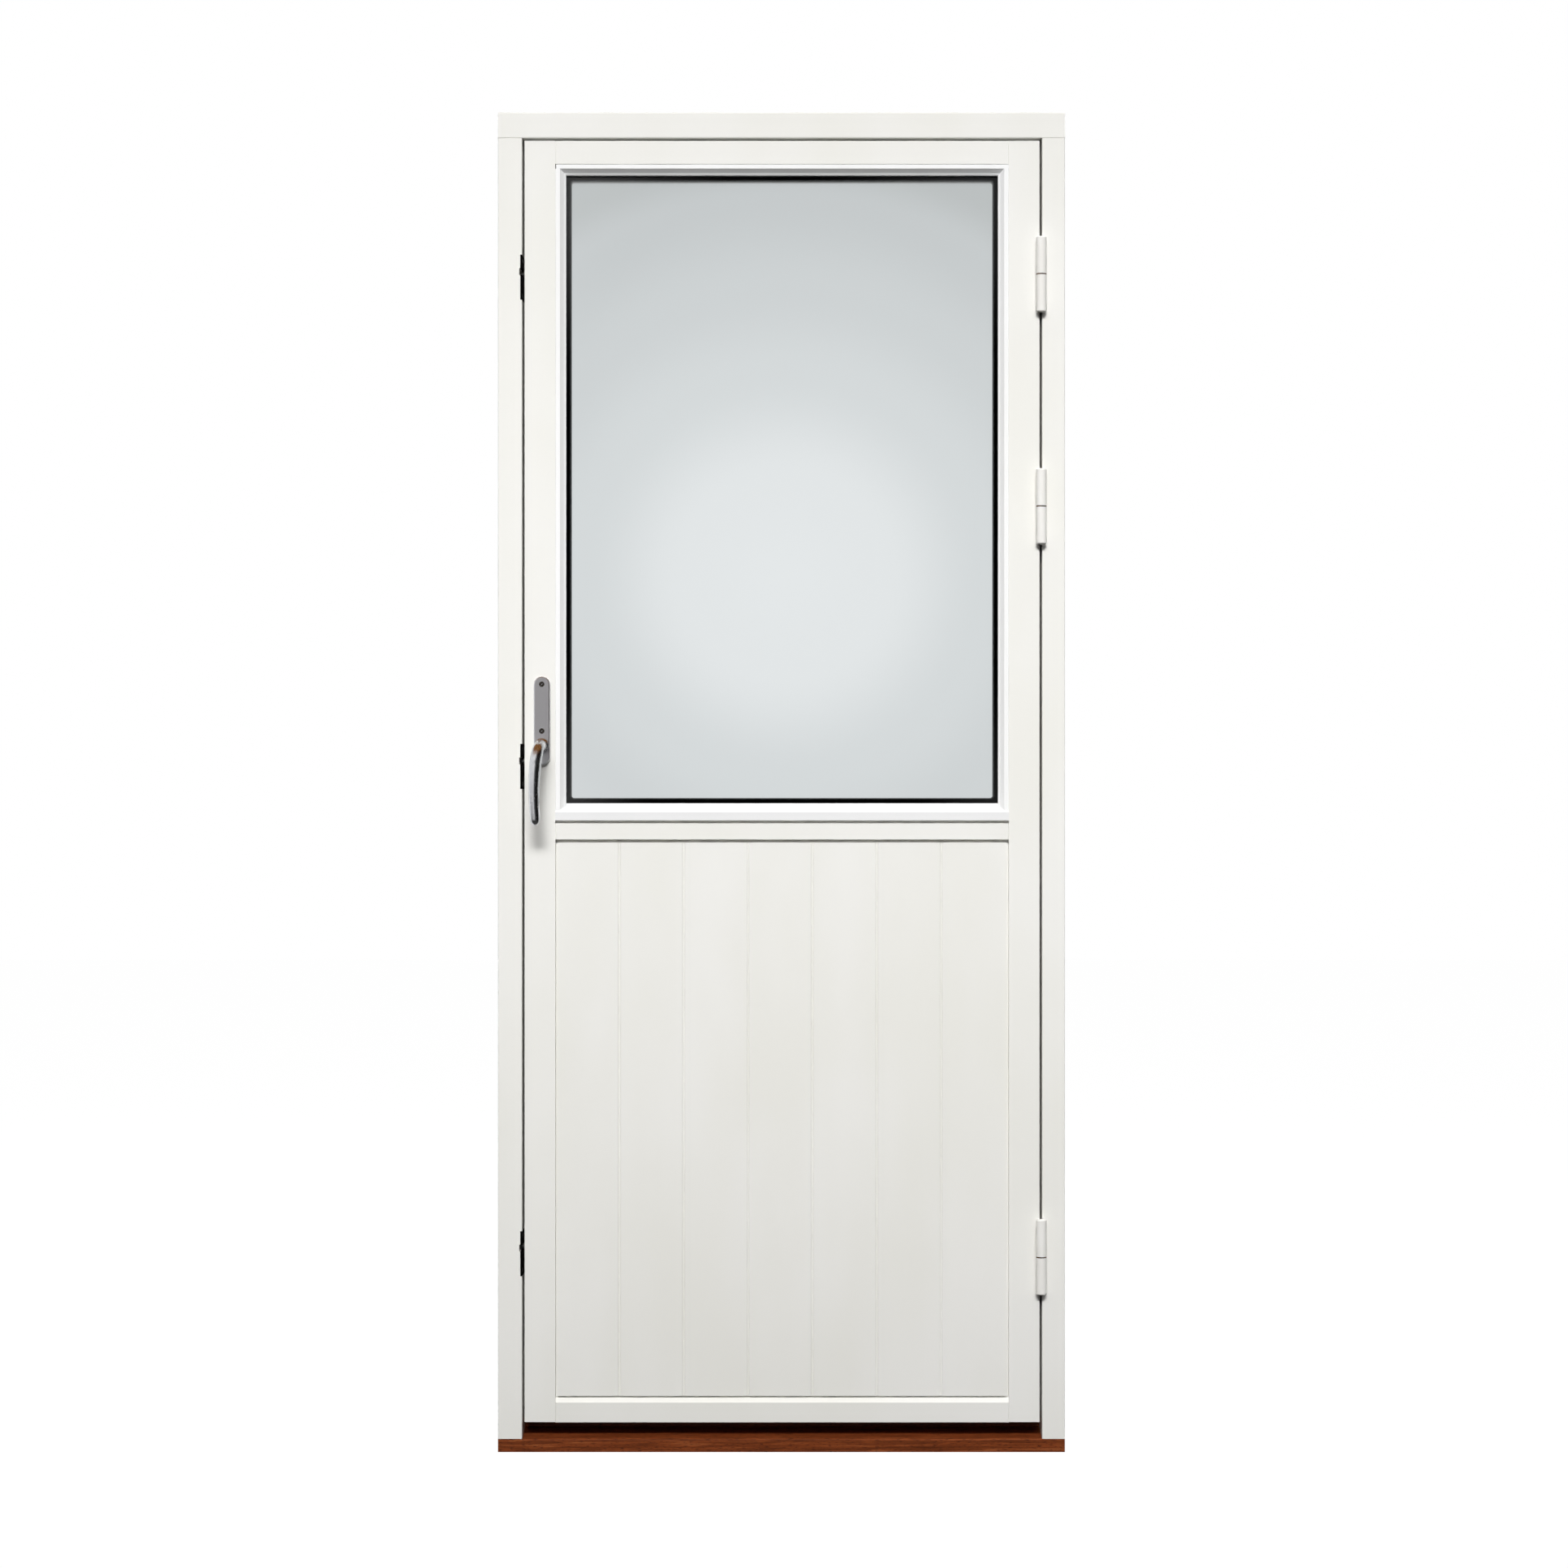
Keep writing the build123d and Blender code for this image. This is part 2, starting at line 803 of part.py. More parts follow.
def top_bead():
    section = outline([(depth, height) for height, depth in bead_points(top_rail_bottom, -1)])
    bead = crosswise(section, (opening_left, opening_right))
    depth = (0, bead_back + past)
    bead -= inwards(corner_keep_out(opening_left, 1), depth)
    bead -= inwards(corner_keep_out(opening_right, -1), depth)
    slot_x = (opening_left - past, opening_left + top_bead_end_gap)
    return bead - block(slot_x, depth, (top_rail_bottom - bead_flat - past, top_rail_bottom + past))


def side_bead(wall, inward):
    """A side bead, mitred into the top bead and scribed to the sloping bead with a fine gap."""
    bead = upright(outline(bead_points(wall, inward)), (sill_bead_bottom, top_rail_bottom))
    bead = bead & inwards(corner_keep_out(wall, inward), (0, bead_back))
    under = outline(
        [(bead_back, sill_bead_top), (-sill_bead_nose, sill_bead_break),
         (-sill_bead_nose, sill_bead_bottom - past), (bead_back + past, sill_bead_bottom - past),
         (bead_back + past, sill_bead_top)]
    )
    cutter = crosswise(under, (opening_left - past, opening_right + past))
    return bead - Pos(0, 0, bead_scribe_gap) * cutter


def sill_bead_blank(x):
    """The sloping bead with its nose hanging in front of the rail, solid down to its seat."""
    nose = -sill_bead_nose
    section = outline(
        [(bead_back, sill_bead_top), (nose, sill_bead_break), (nose, sill_bead_bottom),
         (glazing_floor_setback, sill_bead_bottom), (glazing_floor_setback, glazing_floor),
         (bead_back, glazing_floor)]
    )
    return crosswise(section, x)


def sill_bead():
    bead = sill_bead_blank((opening_left, opening_right))
    nose_edges = bead.edges().filter_by(Axis.X).group_by(Axis.Y)[0]
    return fillet(nose_edges, sill_bead_round)


def pane(front):
    return block((unit_left, unit_right), (front, front + pane_thickness), (unit_bottom, unit_top))


def cavity_span():
    return (outer_pane_front + pane_thickness, inner_pane_back - pane_thickness)


def edge_seal():
    return ring((unit_left, unit_right), (unit_bottom, unit_top), seal_depth, cavity_span())


def glass_spacer():
    """The bar bent round between the panes, with bevelled shoulders towards the cavity."""
    outer_x = (unit_left + seal_depth, unit_right - seal_depth)
    outer_z = (unit_bottom + seal_depth, unit_top - seal_depth)
    opening = block(
        (outer_x[0] + spacer_width, outer_x[1] - spacer_width),
        cavity_span(),
        (outer_z[0] + spacer_width, outer_z[1] - spacer_width),
    )
    opening = fillet(opening.edges().filter_by(Axis.Y), spacer_corner)
    bar = block(outer_x, cavity_span(), outer_z) - opening
    sides = [bar.faces().sort_by(Axis.Y)[0], bar.faces().sort_by(Axis.Y)[-1]]
    shoulders = [edge for side in sides for edge in side.inner_wires()[0].edges()]
    return chamfer(shoulders, spacer_shoulder)


def glazing_tape(front):
    x = (unit_left, unit_right)
    z = (unit_bottom, unit_top)
    return ring(x, z, tape_width, (front, front + tape_thickness))


def setting_blocks():
    placed = []
    span = (outer_pane_front, inner_pane_back)
    for start in (unit_left + block_from_edge, unit_right - block_from_edge - block_length):
        placed.append(block((start, start + block_length), span, (glazing_floor, unit_bottom)))
    return Compound(children=placed)


# The espagnolette

def faceplate_blank():
    span = (leaf_left, leaf_left + faceplate_thickness)
    strip = SlotOverall(faceplate_top - faceplate_bottom, faceplate_width, rotation=90)
    middle = (faceplate_top + faceplate_bottom) / 2
    return crosswise(Pos(bolt_y, middle) * strip, span)


def faceplate():
    solid = faceplate_blank()
    width = 2 * (pin_shank_radius + rod_clearance)
    for rest in pin_rest_heights:
        slot = SlotCenterToCenter(rod_travel, width, rotation=90)
        face = Pos(bolt_y, rest - rod_travel / 2) * slot
        solid -= crosswise(face, (leaf_left - past, leaf_left + faceplate_thickness + past))
    return solid - faceplate_screws().solids()


def rod_slot_heights():
    """The screws that pass through the rod's slots: two evenly between each pin and the next."""
    heights = []
    for low, high in zip(pin_rest_heights, pin_rest_heights[1:]):
        third = (high - low) / 3
        heights += [low + third, high - third]
    return heights


def faceplate_screws():
    low_end = [faceplate_bottom + inset for inset in faceplate_screws_from_end]
    high_end = [faceplate_top - inset for inset in faceplate_screws_from_end]
    heights = low_end + rod_slot_heights() + high_end
    return Compound(children=[facing_left(small_screw(), leaf_left, bolt_y, height) for height in heights])


def case_blank():
    return block(
        (leaf_left + faceplate_thickness, case_back),
        (bolt_y - case_width / 2, bolt_y + case_width / 2),
        (spindle_height - case_half_height, spindle_height + case_half_height),
    )


def gearcase():
    """A pressed case behind the faceplate, open towards it and slotted for the rod."""
    front = leaf_left + faceplate_thickness
    low = spindle_height - case_half_height
    high = spindle_height + case_half_height
    inner_y = (bolt_y - case_width / 2 + case_wall, bolt_y + case_width / 2 - case_wall)
    room = block((front - past, case_back - case_wall), inner_y, (low + case_wall, high - case_wall))
    rod_way = block(
        (front - past, rod_back + rod_clearance),
        (bolt_y - rod_width / 2 - rod_clearance, bolt_y + rod_width / 2 + rod_clearance),
        (low - past, high + past),
    )
    through = (bolt_y - case_width, bolt_y + case_width)
    hub_hole = rod_along_y(hub_radius + hub_clearance, spindle_x, through, spindle_height)
    shell = case_blank() - room - rod_way - hub_hole
    for height in plate_screw_heights:
        shell -= rod_along_y(plate_screw_radius + rod_clearance, spindle_x, through, height)
    return shell


def tooth_half_angle(radius):
    """Half the angle that a pinion tooth fills at a radius, by the involute of its base circle."""
    base = pitch_radius * cos(radians(pressure_angle))
    at_pitch = radians(pressure_angle)
    at_radius = acos(min(1, base / max(radius, base)))
    widening = (tan(at_pitch) - at_pitch) - (tan(at_radius) - at_radius)
    half_tooth = (tooth_pitch / 2 - gear_backlash) / (2 * pitch_radius)
    return half_tooth + widening


def pinion():
    root = pitch_radius - dedendum
    tip = pitch_radius + gear_module
    base = pitch_radius * cos(radians(pressure_angle))
    flank = (root, base, pitch_radius, (pitch_radius + tip) / 2, tip)
    points = []
    for tooth in range(gear_teeth):
        centre = pi + 2 * pi * tooth / gear_teeth
        rising = [(radius, centre - tooth_half_angle(radius)) for radius in flank]
        falling = [(radius, centre + tooth_half_angle(radius)) for radius in reversed(flank)]
        for radius, angle in rising + falling:
            points.append((radius * cos(angle), radius * sin(angle)))
    wheel_y = (bolt_y - gear_width / 2, bolt_y + gear_width / 2)
    wheel = inwards(Pos(spindle_x, spindle_height) * outline(points), wheel_y)
    hub_y = (bolt_y - case_width / 2, bolt_y + case_width / 2)
    wheel += rod_along_y(hub_radius, spindle_x, hub_y, spindle_height)
    hole = spindle_side / 2 + spindle_clearance
    return wheel - block(
        (spindle_x - hole, spindle_x + hole),
        (hub_y[0] - past, hub_y[1] + past),
        (spindle_height - hole, spindle_height + hole),
    )


def rack_outline():
    """Straight-sided teeth on the pitch line, with a space at the spindle's height."""
    tip = rack_line + gear_module
    root = rack_line - dedendum
    slope = tan(radians(pressure_angle))
    half = (tooth_pitch / 2 - gear_backlash) / 2
    at_tip = half - gear_module * slope
    at_root = half + dedendum * slope
    points = [(rod_back, rack_bottom), (root, rack_bottom)]
    first = int((rack_bottom - spindle_height) / tooth_pitch) - 1
    last = int((rack_top - spindle_height) / tooth_pitch) + 1
    for step in range(first, last):
        centre = spindle_height + (step + 0.5) * tooth_pitch
        if rack_bottom < centre - at_root and centre + at_root < rack_top:
            points += [(root, centre - at_root), (tip, centre - at_tip)]
            points += [(tip, centre + at_tip), (root, centre + at_root)]
    return outline(points + [(root, rack_top), (rod_back, rack_top)])


def drive_rod():
    half = rod_width / 2
    bar = block((rod_front, rod_back), (bolt_y - half, bolt_y + half), (rod_bottom, rod_top))
    rack = inwards(rack_outline(), (bolt_y - gear_width / 2, bolt_y + gear_width / 2))
    solid = bar + rack
    through = (rod_front - past, rod_back + past)
    width = 2 * (small_screw_radius + 2 * rod_clearance)
    for height in rod_slot_heights():
        slot = SlotCenterToCenter(rod_travel + 2 * rod_clearance, width, rotation=90)
        solid -= crosswise(Pos(bolt_y, height + rod_travel / 2) * slot, through)
    for rest in pin_rest_heights:
        solid -= rod_along_x(pin_shank_radius, through, bolt_y, rest)
    return solid


def locking_pins():
    placed = []
    for rest in pin_rest_heights:
        shank = rod_along_x(pin_shank_radius, (leaf_left - rod_clearance, rod_back), bolt_y, rest)
        knob = rod_along_x(pin_head_radius, (leaf_left - pin_reach, leaf_left - rod_clearance), bolt_y, rest)
        tip = knob.edges().filter_by(GeomType.CIRCLE).sort_by(Axis.X)[0]
        placed.append(shank + chamfer(tip, pin_chamfer))
    return Compound(children=placed)


# The handle

def backplate_blank():
    middle = spindle_height - plate_below_spindle + plate_length / 2
    shape = Pos(spindle_x, middle) * SlotOverall(plate_length, plate_width, rotation=90)
    solid = inwards(shape, (-plate_thickness, 0))
    return fillet(solid.edges().group_by(Axis.Y)[0], plate_round)


def outer_backplate():
    hole = rod_along_y(bush_radius, spindle_x, (-plate_thickness - past, past), spindle_height)
    return backplate_blank() - hole - plate_screws().solids()


def to_inside(solid):
    """The indoor piece is the outdoor one given half a turn about an upright line through the spindle."""
    line = Axis((spindle_x, spindle_middle, 0), (0, 0, 1))
    return solid.rotate(line, 180)


def inner_backplate():
    hole = rod_along_y(bush_radius, spindle_x, (-plate_thickness - past, past), spindle_height)
    return to_inside(backplate_blank() - hole) - plate_screws().solids()


def plate_screws():
    """Screws through both plates, slotted, with countersunk heads outdoors."""
    length = plate_thickness + leaf_thickness + plate_thickness - plate_screw_end
    screw = countersunk_screw(length, plate_screw_radius, plate_screw_head_radius, plate_screw_head_height)
    slot = plate_screw_slot / 2
    across = (-plate_screw_head_radius, plate_screw_head_radius)
    screw -= block(across, (-slot, slot), (-plate_screw_slot_depth, past))
    turned = Rot(90, 0, 0) * (Rot(0, 0, 45) * screw)
    places = [Pos(spindle_x, -plate_thickness, height) for height in plate_screw_heights]
    return Compound(children=[place * turned for place in places])


def outer_bush():
    span = (-plate_thickness, 0)
    ring_part = rod_along_y(bush_radius, spindle_x, span, spindle_height)
    return ring_part - rod_along_y(journal_radius + journal_clearance, spindle_x, span, spindle_height)


def lever_path():
    """Straight out of the plate, over a tight bend, and down a grip that bows a little."""
    lean = spindle_x - grip_side
    return FilletPolyline(
        (spindle_x, -plate_thickness, spindle_height),
        (spindle_x - grip_side / 2, -grip_stand_off, spindle_height + grip_lean),
        (lean, -grip_stand_off - grip_lean, spindle_height - grip_knee),
        (lean + grip_lean / 2, -grip_stand_off, spindle_height - lever_length + grip_radius),
        radius=[lever_bend, grip_bend],
    )


def outer_lever():
    """Journal in the bush, collar against the plate, and a round grip with a domed end."""
    path = lever_path()
    section = Plane(origin=path @ 0, z_dir=path % 0) * Circle(grip_radius)
    grip = sweep(section, path=path)
    dome = Pos(*(path @ 1)) * Sphere(grip_radius)
    collar_start = -plate_thickness - collar_clearance
    collar_half = [
        (0, 0),
        (collar_radius, 0),
        (collar_radius, collar_length / 3),
        (grip_radius, collar_length),
        (0, collar_length),
    ]
    turned = Rot(90, 0, 0) * revolve(Plane.XZ * make_face(Polyline(*collar_half, close=True)), Axis.Z)
    collar = Pos(spindle_x, collar_start, spindle_height) * turned
    trim = block(
        (spindle_x - plate_width, spindle_x + plate_width),
        (collar_start, 0),
        (spindle_height - plate_width, spindle_height + plate_width),
    )
    journal = rod_along_y(journal_radius, spindle_x, (collar_start - past, 0), spindle_height)
    solid = (grip - trim) + dome + collar + journal
    hole = spindle_side / 2 + spindle_clearance
    socket = block(
        (spindle_x - hole, spindle_x + hole),
        (-plate_thickness - collar_length - lever_socket_end, past),
        (spindle_height - hole, spindle_height + hole),
    )
    return solid - socket


def spindle():
    half = spindle_side / 2
    end = plate_thickness + collar_length + lever_socket_end - spindle_end_play
    return block(
        (spindle_x - half, spindle_x + half),
        (-end, leaf_thickness + end),
        (spindle_height - half, spindle_height + half),
    )


nodes = {
    "head": head(),
    "lock_jamb": lock_jamb(),
    "hinge_jamb": hinge_jamb(),
    "threshold": threshold(),
    "frame_gasket": frame_gasket(),
    "frame_screws": frame_screws(),
    "strike_screws": strike_screws(),
    "hinge_washers": hinge_washers(),
    "hinge_frame_screws": hinge_frame_screws(),
    "hinge_leaf_screws": hinge_leaf_screws(),
    "lock_stile": lock_stile(),
    "hinge_stile": hinge_stile(),
    "top_rail": top_rail(),
    "mid_rail": mid_rail(),
    "bottom_rail": bottom_rail(),
    "rail_dowels": rail_dowels(),
    "panel_outer_sheet": panel_outer_sheet(),
    "panel_core": panel_core(),
    "panel_inner_sheet": panel_inner_sheet(),
    "top_bead": top_bead(),
    "lock_side_bead": side_bead(opening_left, 1),
    "hinge_side_bead": side_bead(opening_right, -1),
    "sill_bead": sill_bead(),
    "outer_pane": pane(outer_pane_front),
    "inner_pane": pane(inner_pane_back - pane_thickness),
    "glass_spacer": glass_spacer(),
    "edge_seal": edge_seal(),
    "outer_glazing_tape": glazing_tape(bead_back),
    "inner_glazing_tape": glazing_tape(inner_pane_back),
    "setting_blocks": setting_blocks(),
    "faceplate": faceplate(),
    "faceplate_screws": faceplate_screws(),
    "gearcase": gearcase(),
    "pinion": pinion(),
    "drive_rod": drive_rod(),
    "locking_pins": locking_pins(),
    "outer_backplate": outer_backplate(),
    "inner_backplate": inner_backplate(),
    "plate_screws": plate_screws(),
    "outer_bush": outer_bush(),
    "inner_bush": to_inside(outer_bush()),
    "outer_lever": outer_lever(),
    "inner_lever": to_inside(outer_lever()),
    "spindle": spindle(),
}
for place, split in zip(("lower", "middle", "upper"), hinge_splits):
    nodes[f"{place}_hinge_frame_half"] = hinge_frame_half(split)
    nodes[f"{place}_hinge_leaf_half"] = hinge_leaf_half(split)
    nodes[f"{place}_hinge_pin"] = hinge_pin(split)
for place, centre in zip(("lower", "middle", "upper"), strike_centres):
    nodes[f"{place}_strike"] = strike(centre)

os.makedirs("parts", exist_ok=True)
for name, shape in nodes.items():
    export_step(shape, f"parts/{name}.step")
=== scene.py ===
# %% [markdown]
# # A painted balcony door in its frame
# The real thing is a joiner's door: planed pine sprayed with satin white paint, a glass unit above
# a grooved panel, three lift-off hinges, a long lock bar with a satin handle, and a hardwood
# threshold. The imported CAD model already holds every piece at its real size. This lesson gives each
# of them the surface that it has on the real door, casts the two levers anew, adds the small screws'
# driving recesses, and sets up a studio like the one that the photograph was taken in.

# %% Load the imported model
import math

import bmesh
import bpy
from mathutils import Matrix, Vector


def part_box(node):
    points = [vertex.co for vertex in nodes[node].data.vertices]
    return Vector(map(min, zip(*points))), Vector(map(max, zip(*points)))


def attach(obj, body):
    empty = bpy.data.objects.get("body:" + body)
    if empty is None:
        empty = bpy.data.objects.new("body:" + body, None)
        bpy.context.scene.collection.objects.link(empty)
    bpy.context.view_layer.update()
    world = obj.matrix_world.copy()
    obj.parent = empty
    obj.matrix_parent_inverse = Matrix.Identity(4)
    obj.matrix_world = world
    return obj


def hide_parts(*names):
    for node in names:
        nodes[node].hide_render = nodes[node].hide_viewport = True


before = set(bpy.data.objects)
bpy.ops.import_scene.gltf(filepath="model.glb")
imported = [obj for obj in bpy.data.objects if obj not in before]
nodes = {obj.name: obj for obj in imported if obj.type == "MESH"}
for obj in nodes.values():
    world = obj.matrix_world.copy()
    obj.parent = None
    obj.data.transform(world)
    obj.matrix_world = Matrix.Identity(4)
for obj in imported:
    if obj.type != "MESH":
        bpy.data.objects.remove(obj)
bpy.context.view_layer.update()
print("pieces in the CAD model:", len(nodes))

# %% [markdown]
# ## Two small helpers
# Shader trees and Geometry Nodes trees are both made of nodes, so one function adds a node to
# either of them, with its settings and its links. Paint and metal colours are written as the hex
# values that a colour chart gives, and Blender wants linear light, so one function turns them.

# %% Colours and nodes
MM = 0.001


def linear(hex_colour):
    """A hex colour from a chart as the linear values that Blender works in."""
    channels = [int(hex_colour[place:place + 2], 16) / 255 for place in (1, 3, 5)]
    return [c / 12.92 if c <= 0.04045 else ((c + 0.055) / 1.055) ** 2.4 for c in channels] + [1.0]


def add(tree, kind, inputs=(), **settings):
    """Adds a node. Each input is a plain value, or another node's output, which is then linked."""
    made = tree.nodes.new(kind)
    for name, value in settings.items():
        setattr(made, name, value)
    for name, value in dict(inputs).items():
        if isinstance(value, bpy.types.NodeSocket):
            tree.links.new(value, made.inputs[name])
        else:
            made.inputs[name].default_value = value
    return made


def ramp(tree, factor, *stops):
    """A colour ramp with (place, hex colour) stops."""
    made = add(tree, "ShaderNodeValToRGB", {"Fac": factor})
    band = made.color_ramp
    while len(band.elements) < len(stops):
        band.elements.new(0.5)
    for element, (place, colour) in zip(band.elements, stops):
        element.position = place
        element.color = linear(colour)
    band.interpolation = "EASE"
    return made.outputs["Color"]


def surface_of(name, colour, roughness, metallic=0.0, **more):
    """A new material with the surface's plain values on the shader's own sockets."""
    material = bpy.data.materials.new(name)
    material.use_nodes = True
    shader = material.node_tree.nodes["Principled BSDF"]
    shader.inputs["Base Color"].default_value = linear(colour)
    shader.inputs["Roughness"].default_value = roughness
    shader.inputs["Metallic"].default_value = metallic
    for socket, value in more.items():
        shader.inputs[socket.replace("_", " ")].default_value = value
    return material, material.node_tree, shader


def grained(tree, spacing):
    """Object coordinates counted in the given real spacings along X, Y and Z, in millimetres."""
    place = add(tree, "ShaderNodeTexCoord").outputs["Object"]
    counts = [1 / (step * MM) for step in spacing]
    return add(tree, "ShaderNodeMapping", {"Vector": place, "Scale": counts}).outputs["Vector"]


def relief(tree, shader, height, depth_mm):
    """Gives the shader a bump whose full height is a real one in millimetres."""
    bump = add(tree, "ShaderNodeBump", {"Height": height, "Distance": depth_mm * MM, "Strength": 1.0})
    tree.links.new(bump.outputs["Normal"], shader.inputs["Normal"])


print("white paint in linear light:", [round(c, 3) for c in linear("#F1EFEA")[:3]])

# %% [markdown]
# ## Satin paint on planed pine
# The timber is planed pine, primed and sprayed twice with a water-borne satin paint. It is almost
# flat, but two things give it away close by: the growth rings stand a few hundredths of a millimetre
# proud along each board, and the spray dries with a faint orange peel. The rings run with the board,
# so one function makes the paint for upright boards and for crosswise ones. The glazing beads are a
# cooler white than the boards, as the photograph shows them. An image of wood would slide or stretch
# on boards of such different lengths, and noise in real millimetres doesn't.

# %% Paint for upright and crosswise boards
RING_SPACING = 3.2
RING_LENGTH = 260
RING_RELIEF = 0.05
PEEL_SPACING = 2.6
PEEL_RELIEF = 0.014
CLOUD = [210, 210, 340]
ALONG_Z = [RING_SPACING, RING_SPACING, RING_LENGTH]
ALONG_X = [RING_LENGTH, RING_SPACING, RING_SPACING]


def painted_pine(name, board_spacing, darker="#EFEEE8", lighter="#F3F2EE"):
    material, tree, shader = surface_of(name, lighter, 0.42, IOR=1.5)
    rings = add(tree, "ShaderNodeTexNoise",
                {"Vector": grained(tree, board_spacing), "Scale": 1.0, "Detail": 3.0, "Distortion": 0.4})
    peel = add(tree, "ShaderNodeTexNoise",
               {"Vector": grained(tree, [PEEL_SPACING] * 3), "Scale": 1.0, "Detail": 2.0})
    cloud = add(tree, "ShaderNodeTexNoise", {"Vector": grained(tree, CLOUD), "Scale": 1.0, "Detail": 2.0})
    shade = ramp(tree, cloud.outputs["Fac"], (0.3, darker), (0.7, lighter))
    raised = add(tree, "ShaderNodeMath", {0: rings.outputs["Fac"], 1: RING_RELIEF / PEEL_RELIEF},
                 operation="MULTIPLY")
    height = add(tree, "ShaderNodeMath", {0: raised.outputs[0], 1: peel.outputs["Fac"]}, operation="ADD")
    dull = add(tree, "ShaderNodeMapRange",
               {"Value": rings.outputs["Fac"], "From Min": 0.3, "From Max": 0.7,
                "To Min": 0.37, "To Max": 0.47})
    tree.links.new(shade, shader.inputs["Base Color"])
    tree.links.new(dull.outputs["Result"], shader.inputs["Roughness"])
    relief(tree, shader, height.outputs[0], PEEL_RELIEF)
    return material


upright_paint = painted_pine("satin_paint_upright_pine", ALONG_Z)
crosswise_paint = painted_pine("satin_paint_crosswise_pine", ALONG_X)
upright_bead_paint = painted_pine("satin_paint_upright_bead", ALONG_Z, "#F7F7F6", "#FAFAFA")
crosswise_bead_paint = painted_pine("satin_paint_crosswise_bead", ALONG_X, "#F7F7F6", "#FAFAFA")
# The sill bead gets a greyer copy of the bead paint: painted shade, darker than the other beads though it is
# the same paint.
shaded_sill_bead_paint = painted_pine("satin_paint_sill_bead_painted_shade", ALONG_X, "#ECECEC", "#F0F0F0")
print("made", [paint.name for paint in (upright_paint, crosswise_paint, upright_bead_paint,
                                        crosswise_bead_paint, shaded_sill_bead_paint)])

# %% [markdown]
# ## Sprayed sheet
# The lower panel's faces are grooved sheets of dense fibreboard. They have no grain, so the paint
# on them shows only its orange peel, and it looks a touch flatter than the timber beside it.

# %% Paint for the panel
sheet_paint, tree, shader = surface_of("satin_paint_on_sheet", "#F0EFEA", 0.46, IOR=1.5)
peel = add(tree, "ShaderNodeTexNoise", {"Vector": grained(tree, [3.4] * 3), "Scale": 1.0, "Detail": 2.0})
cloud = add(tree, "ShaderNodeTexNoise",
            {"Vector": grained(tree, [160, 160, 420]), "Scale": 1.0, "Detail": 2.0})
tone = ramp(tree, cloud.outputs["Fac"], (0.3, "#EEEDE7"), (0.7, "#F2F1ED"))
tree.links.new(tone, shader.inputs["Base Color"])
relief(tree, shader, peel.outputs["Fac"], 0.02)
print("made", sheet_paint.name)

# %% [markdown]
# ## Oiled hardwood
# The threshold is a reddish-brown tropical hardwood, planed and oiled. Its grain runs along the
# opening in streaks a few millimetres apart, broken by short dark pores. Two stretched noises make
# it: a long one for the streaks, and a fine one, cut off high, for the pores, which are also sunk.

# %% Wood for the threshold
hardwood, tree, shader = surface_of("oiled_red_hardwood", "#763B1B", 0.5, IOR=1.5, Specular_IOR_Level=0.3)
streaks = add(tree, "ShaderNodeTexNoise",
              {"Vector": grained(tree, [95, 3.6, 3.6]), "Scale": 1.0, "Detail": 6.0, "Distortion": 1.1})
wood = ramp(tree, streaks.outputs["Fac"],
            (0.28, "#54260F"), (0.44, "#6C3418"), (0.56, "#803F1E"), (0.72, "#95532E"))
pores = add(tree, "ShaderNodeTexNoise",
            {"Vector": grained(tree, [9, 0.8, 0.8]), "Scale": 1.0, "Detail": 2.0})
pore = add(tree, "ShaderNodeMapRange",
           {"Value": pores.outputs["Fac"], "From Min": 0.57, "From Max": 0.66, "To Min": 0.0, "To Max": 1.0})
stained = add(tree, "ShaderNodeMix",
              {"Factor": pore.outputs["Result"], 6: wood, 7: linear("#3A180A")}, data_type="RGBA")
sunk = add(tree, "ShaderNodeMath", {0: 1.0, 1: pore.outputs["Result"]}, operation="SUBTRACT")
tree.links.new(stained.outputs[2], shader.inputs["Base Color"])
relief(tree, shader, sunk.outputs[0], 0.12)
print("made", hardwood.name)

# %% [markdown]
# ## Beech, foam and nylon
# These are hidden inside the door: beech dowels in the corner joints, polystyrene foam between the
# panel's sheets, and nylon bushes round the handle's spindle. They are finished too, because a
# part may be taken to pieces or shown cut open.

# %% Hidden materials
beech, tree, shader = surface_of("planed_beech", "#CBA67C", 0.6)
flecks = add(tree, "ShaderNodeTexNoise",
             {"Vector": grained(tree, [7, 0.9, 0.9]), "Scale": 1.0, "Detail": 3.0})
shade = ramp(tree, flecks.outputs["Fac"], (0.35, "#B88E63"), (0.65, "#D6B48C"))
tree.links.new(shade, shader.inputs["Base Color"])
relief(tree, shader, flecks.outputs["Fac"], 0.04)

foam, tree, shader = surface_of("bead_foam", "#E8E8E4", 0.85)
cells = add(tree, "ShaderNodeTexVoronoi", {"Vector": grained(tree, [4] * 3), "Scale": 1.0})
shade = ramp(tree, cells.outputs["Distance"], (0.2, "#EDEDE9"), (0.8, "#D3D3CE"))
tree.links.new(shade, shader.inputs["Base Color"])
relief(tree, shader, cells.outputs["Distance"], -0.5)

nylon, tree, shader = surface_of("moulded_nylon", "#E3E1DA", 0.4)
skin = add(tree, "ShaderNodeTexNoise", {"Vector": grained(tree, [0.7] * 3), "Scale": 1.0})
relief(tree, shader, skin.outputs["Fac"], 0.02)
print("made", beech.name, foam.name, nylon.name)

# %% [markdown]
# ## Rubber, spacer and glass
# The weather gasket and the glazing tapes are black rubber with a fine matt skin. The bar between
# the panes is a black plastic spacer, a little smoother. The panes are clear float glass 4 mm thick:
# real solids, so that their edges and both of their faces bend and reflect light as they should.

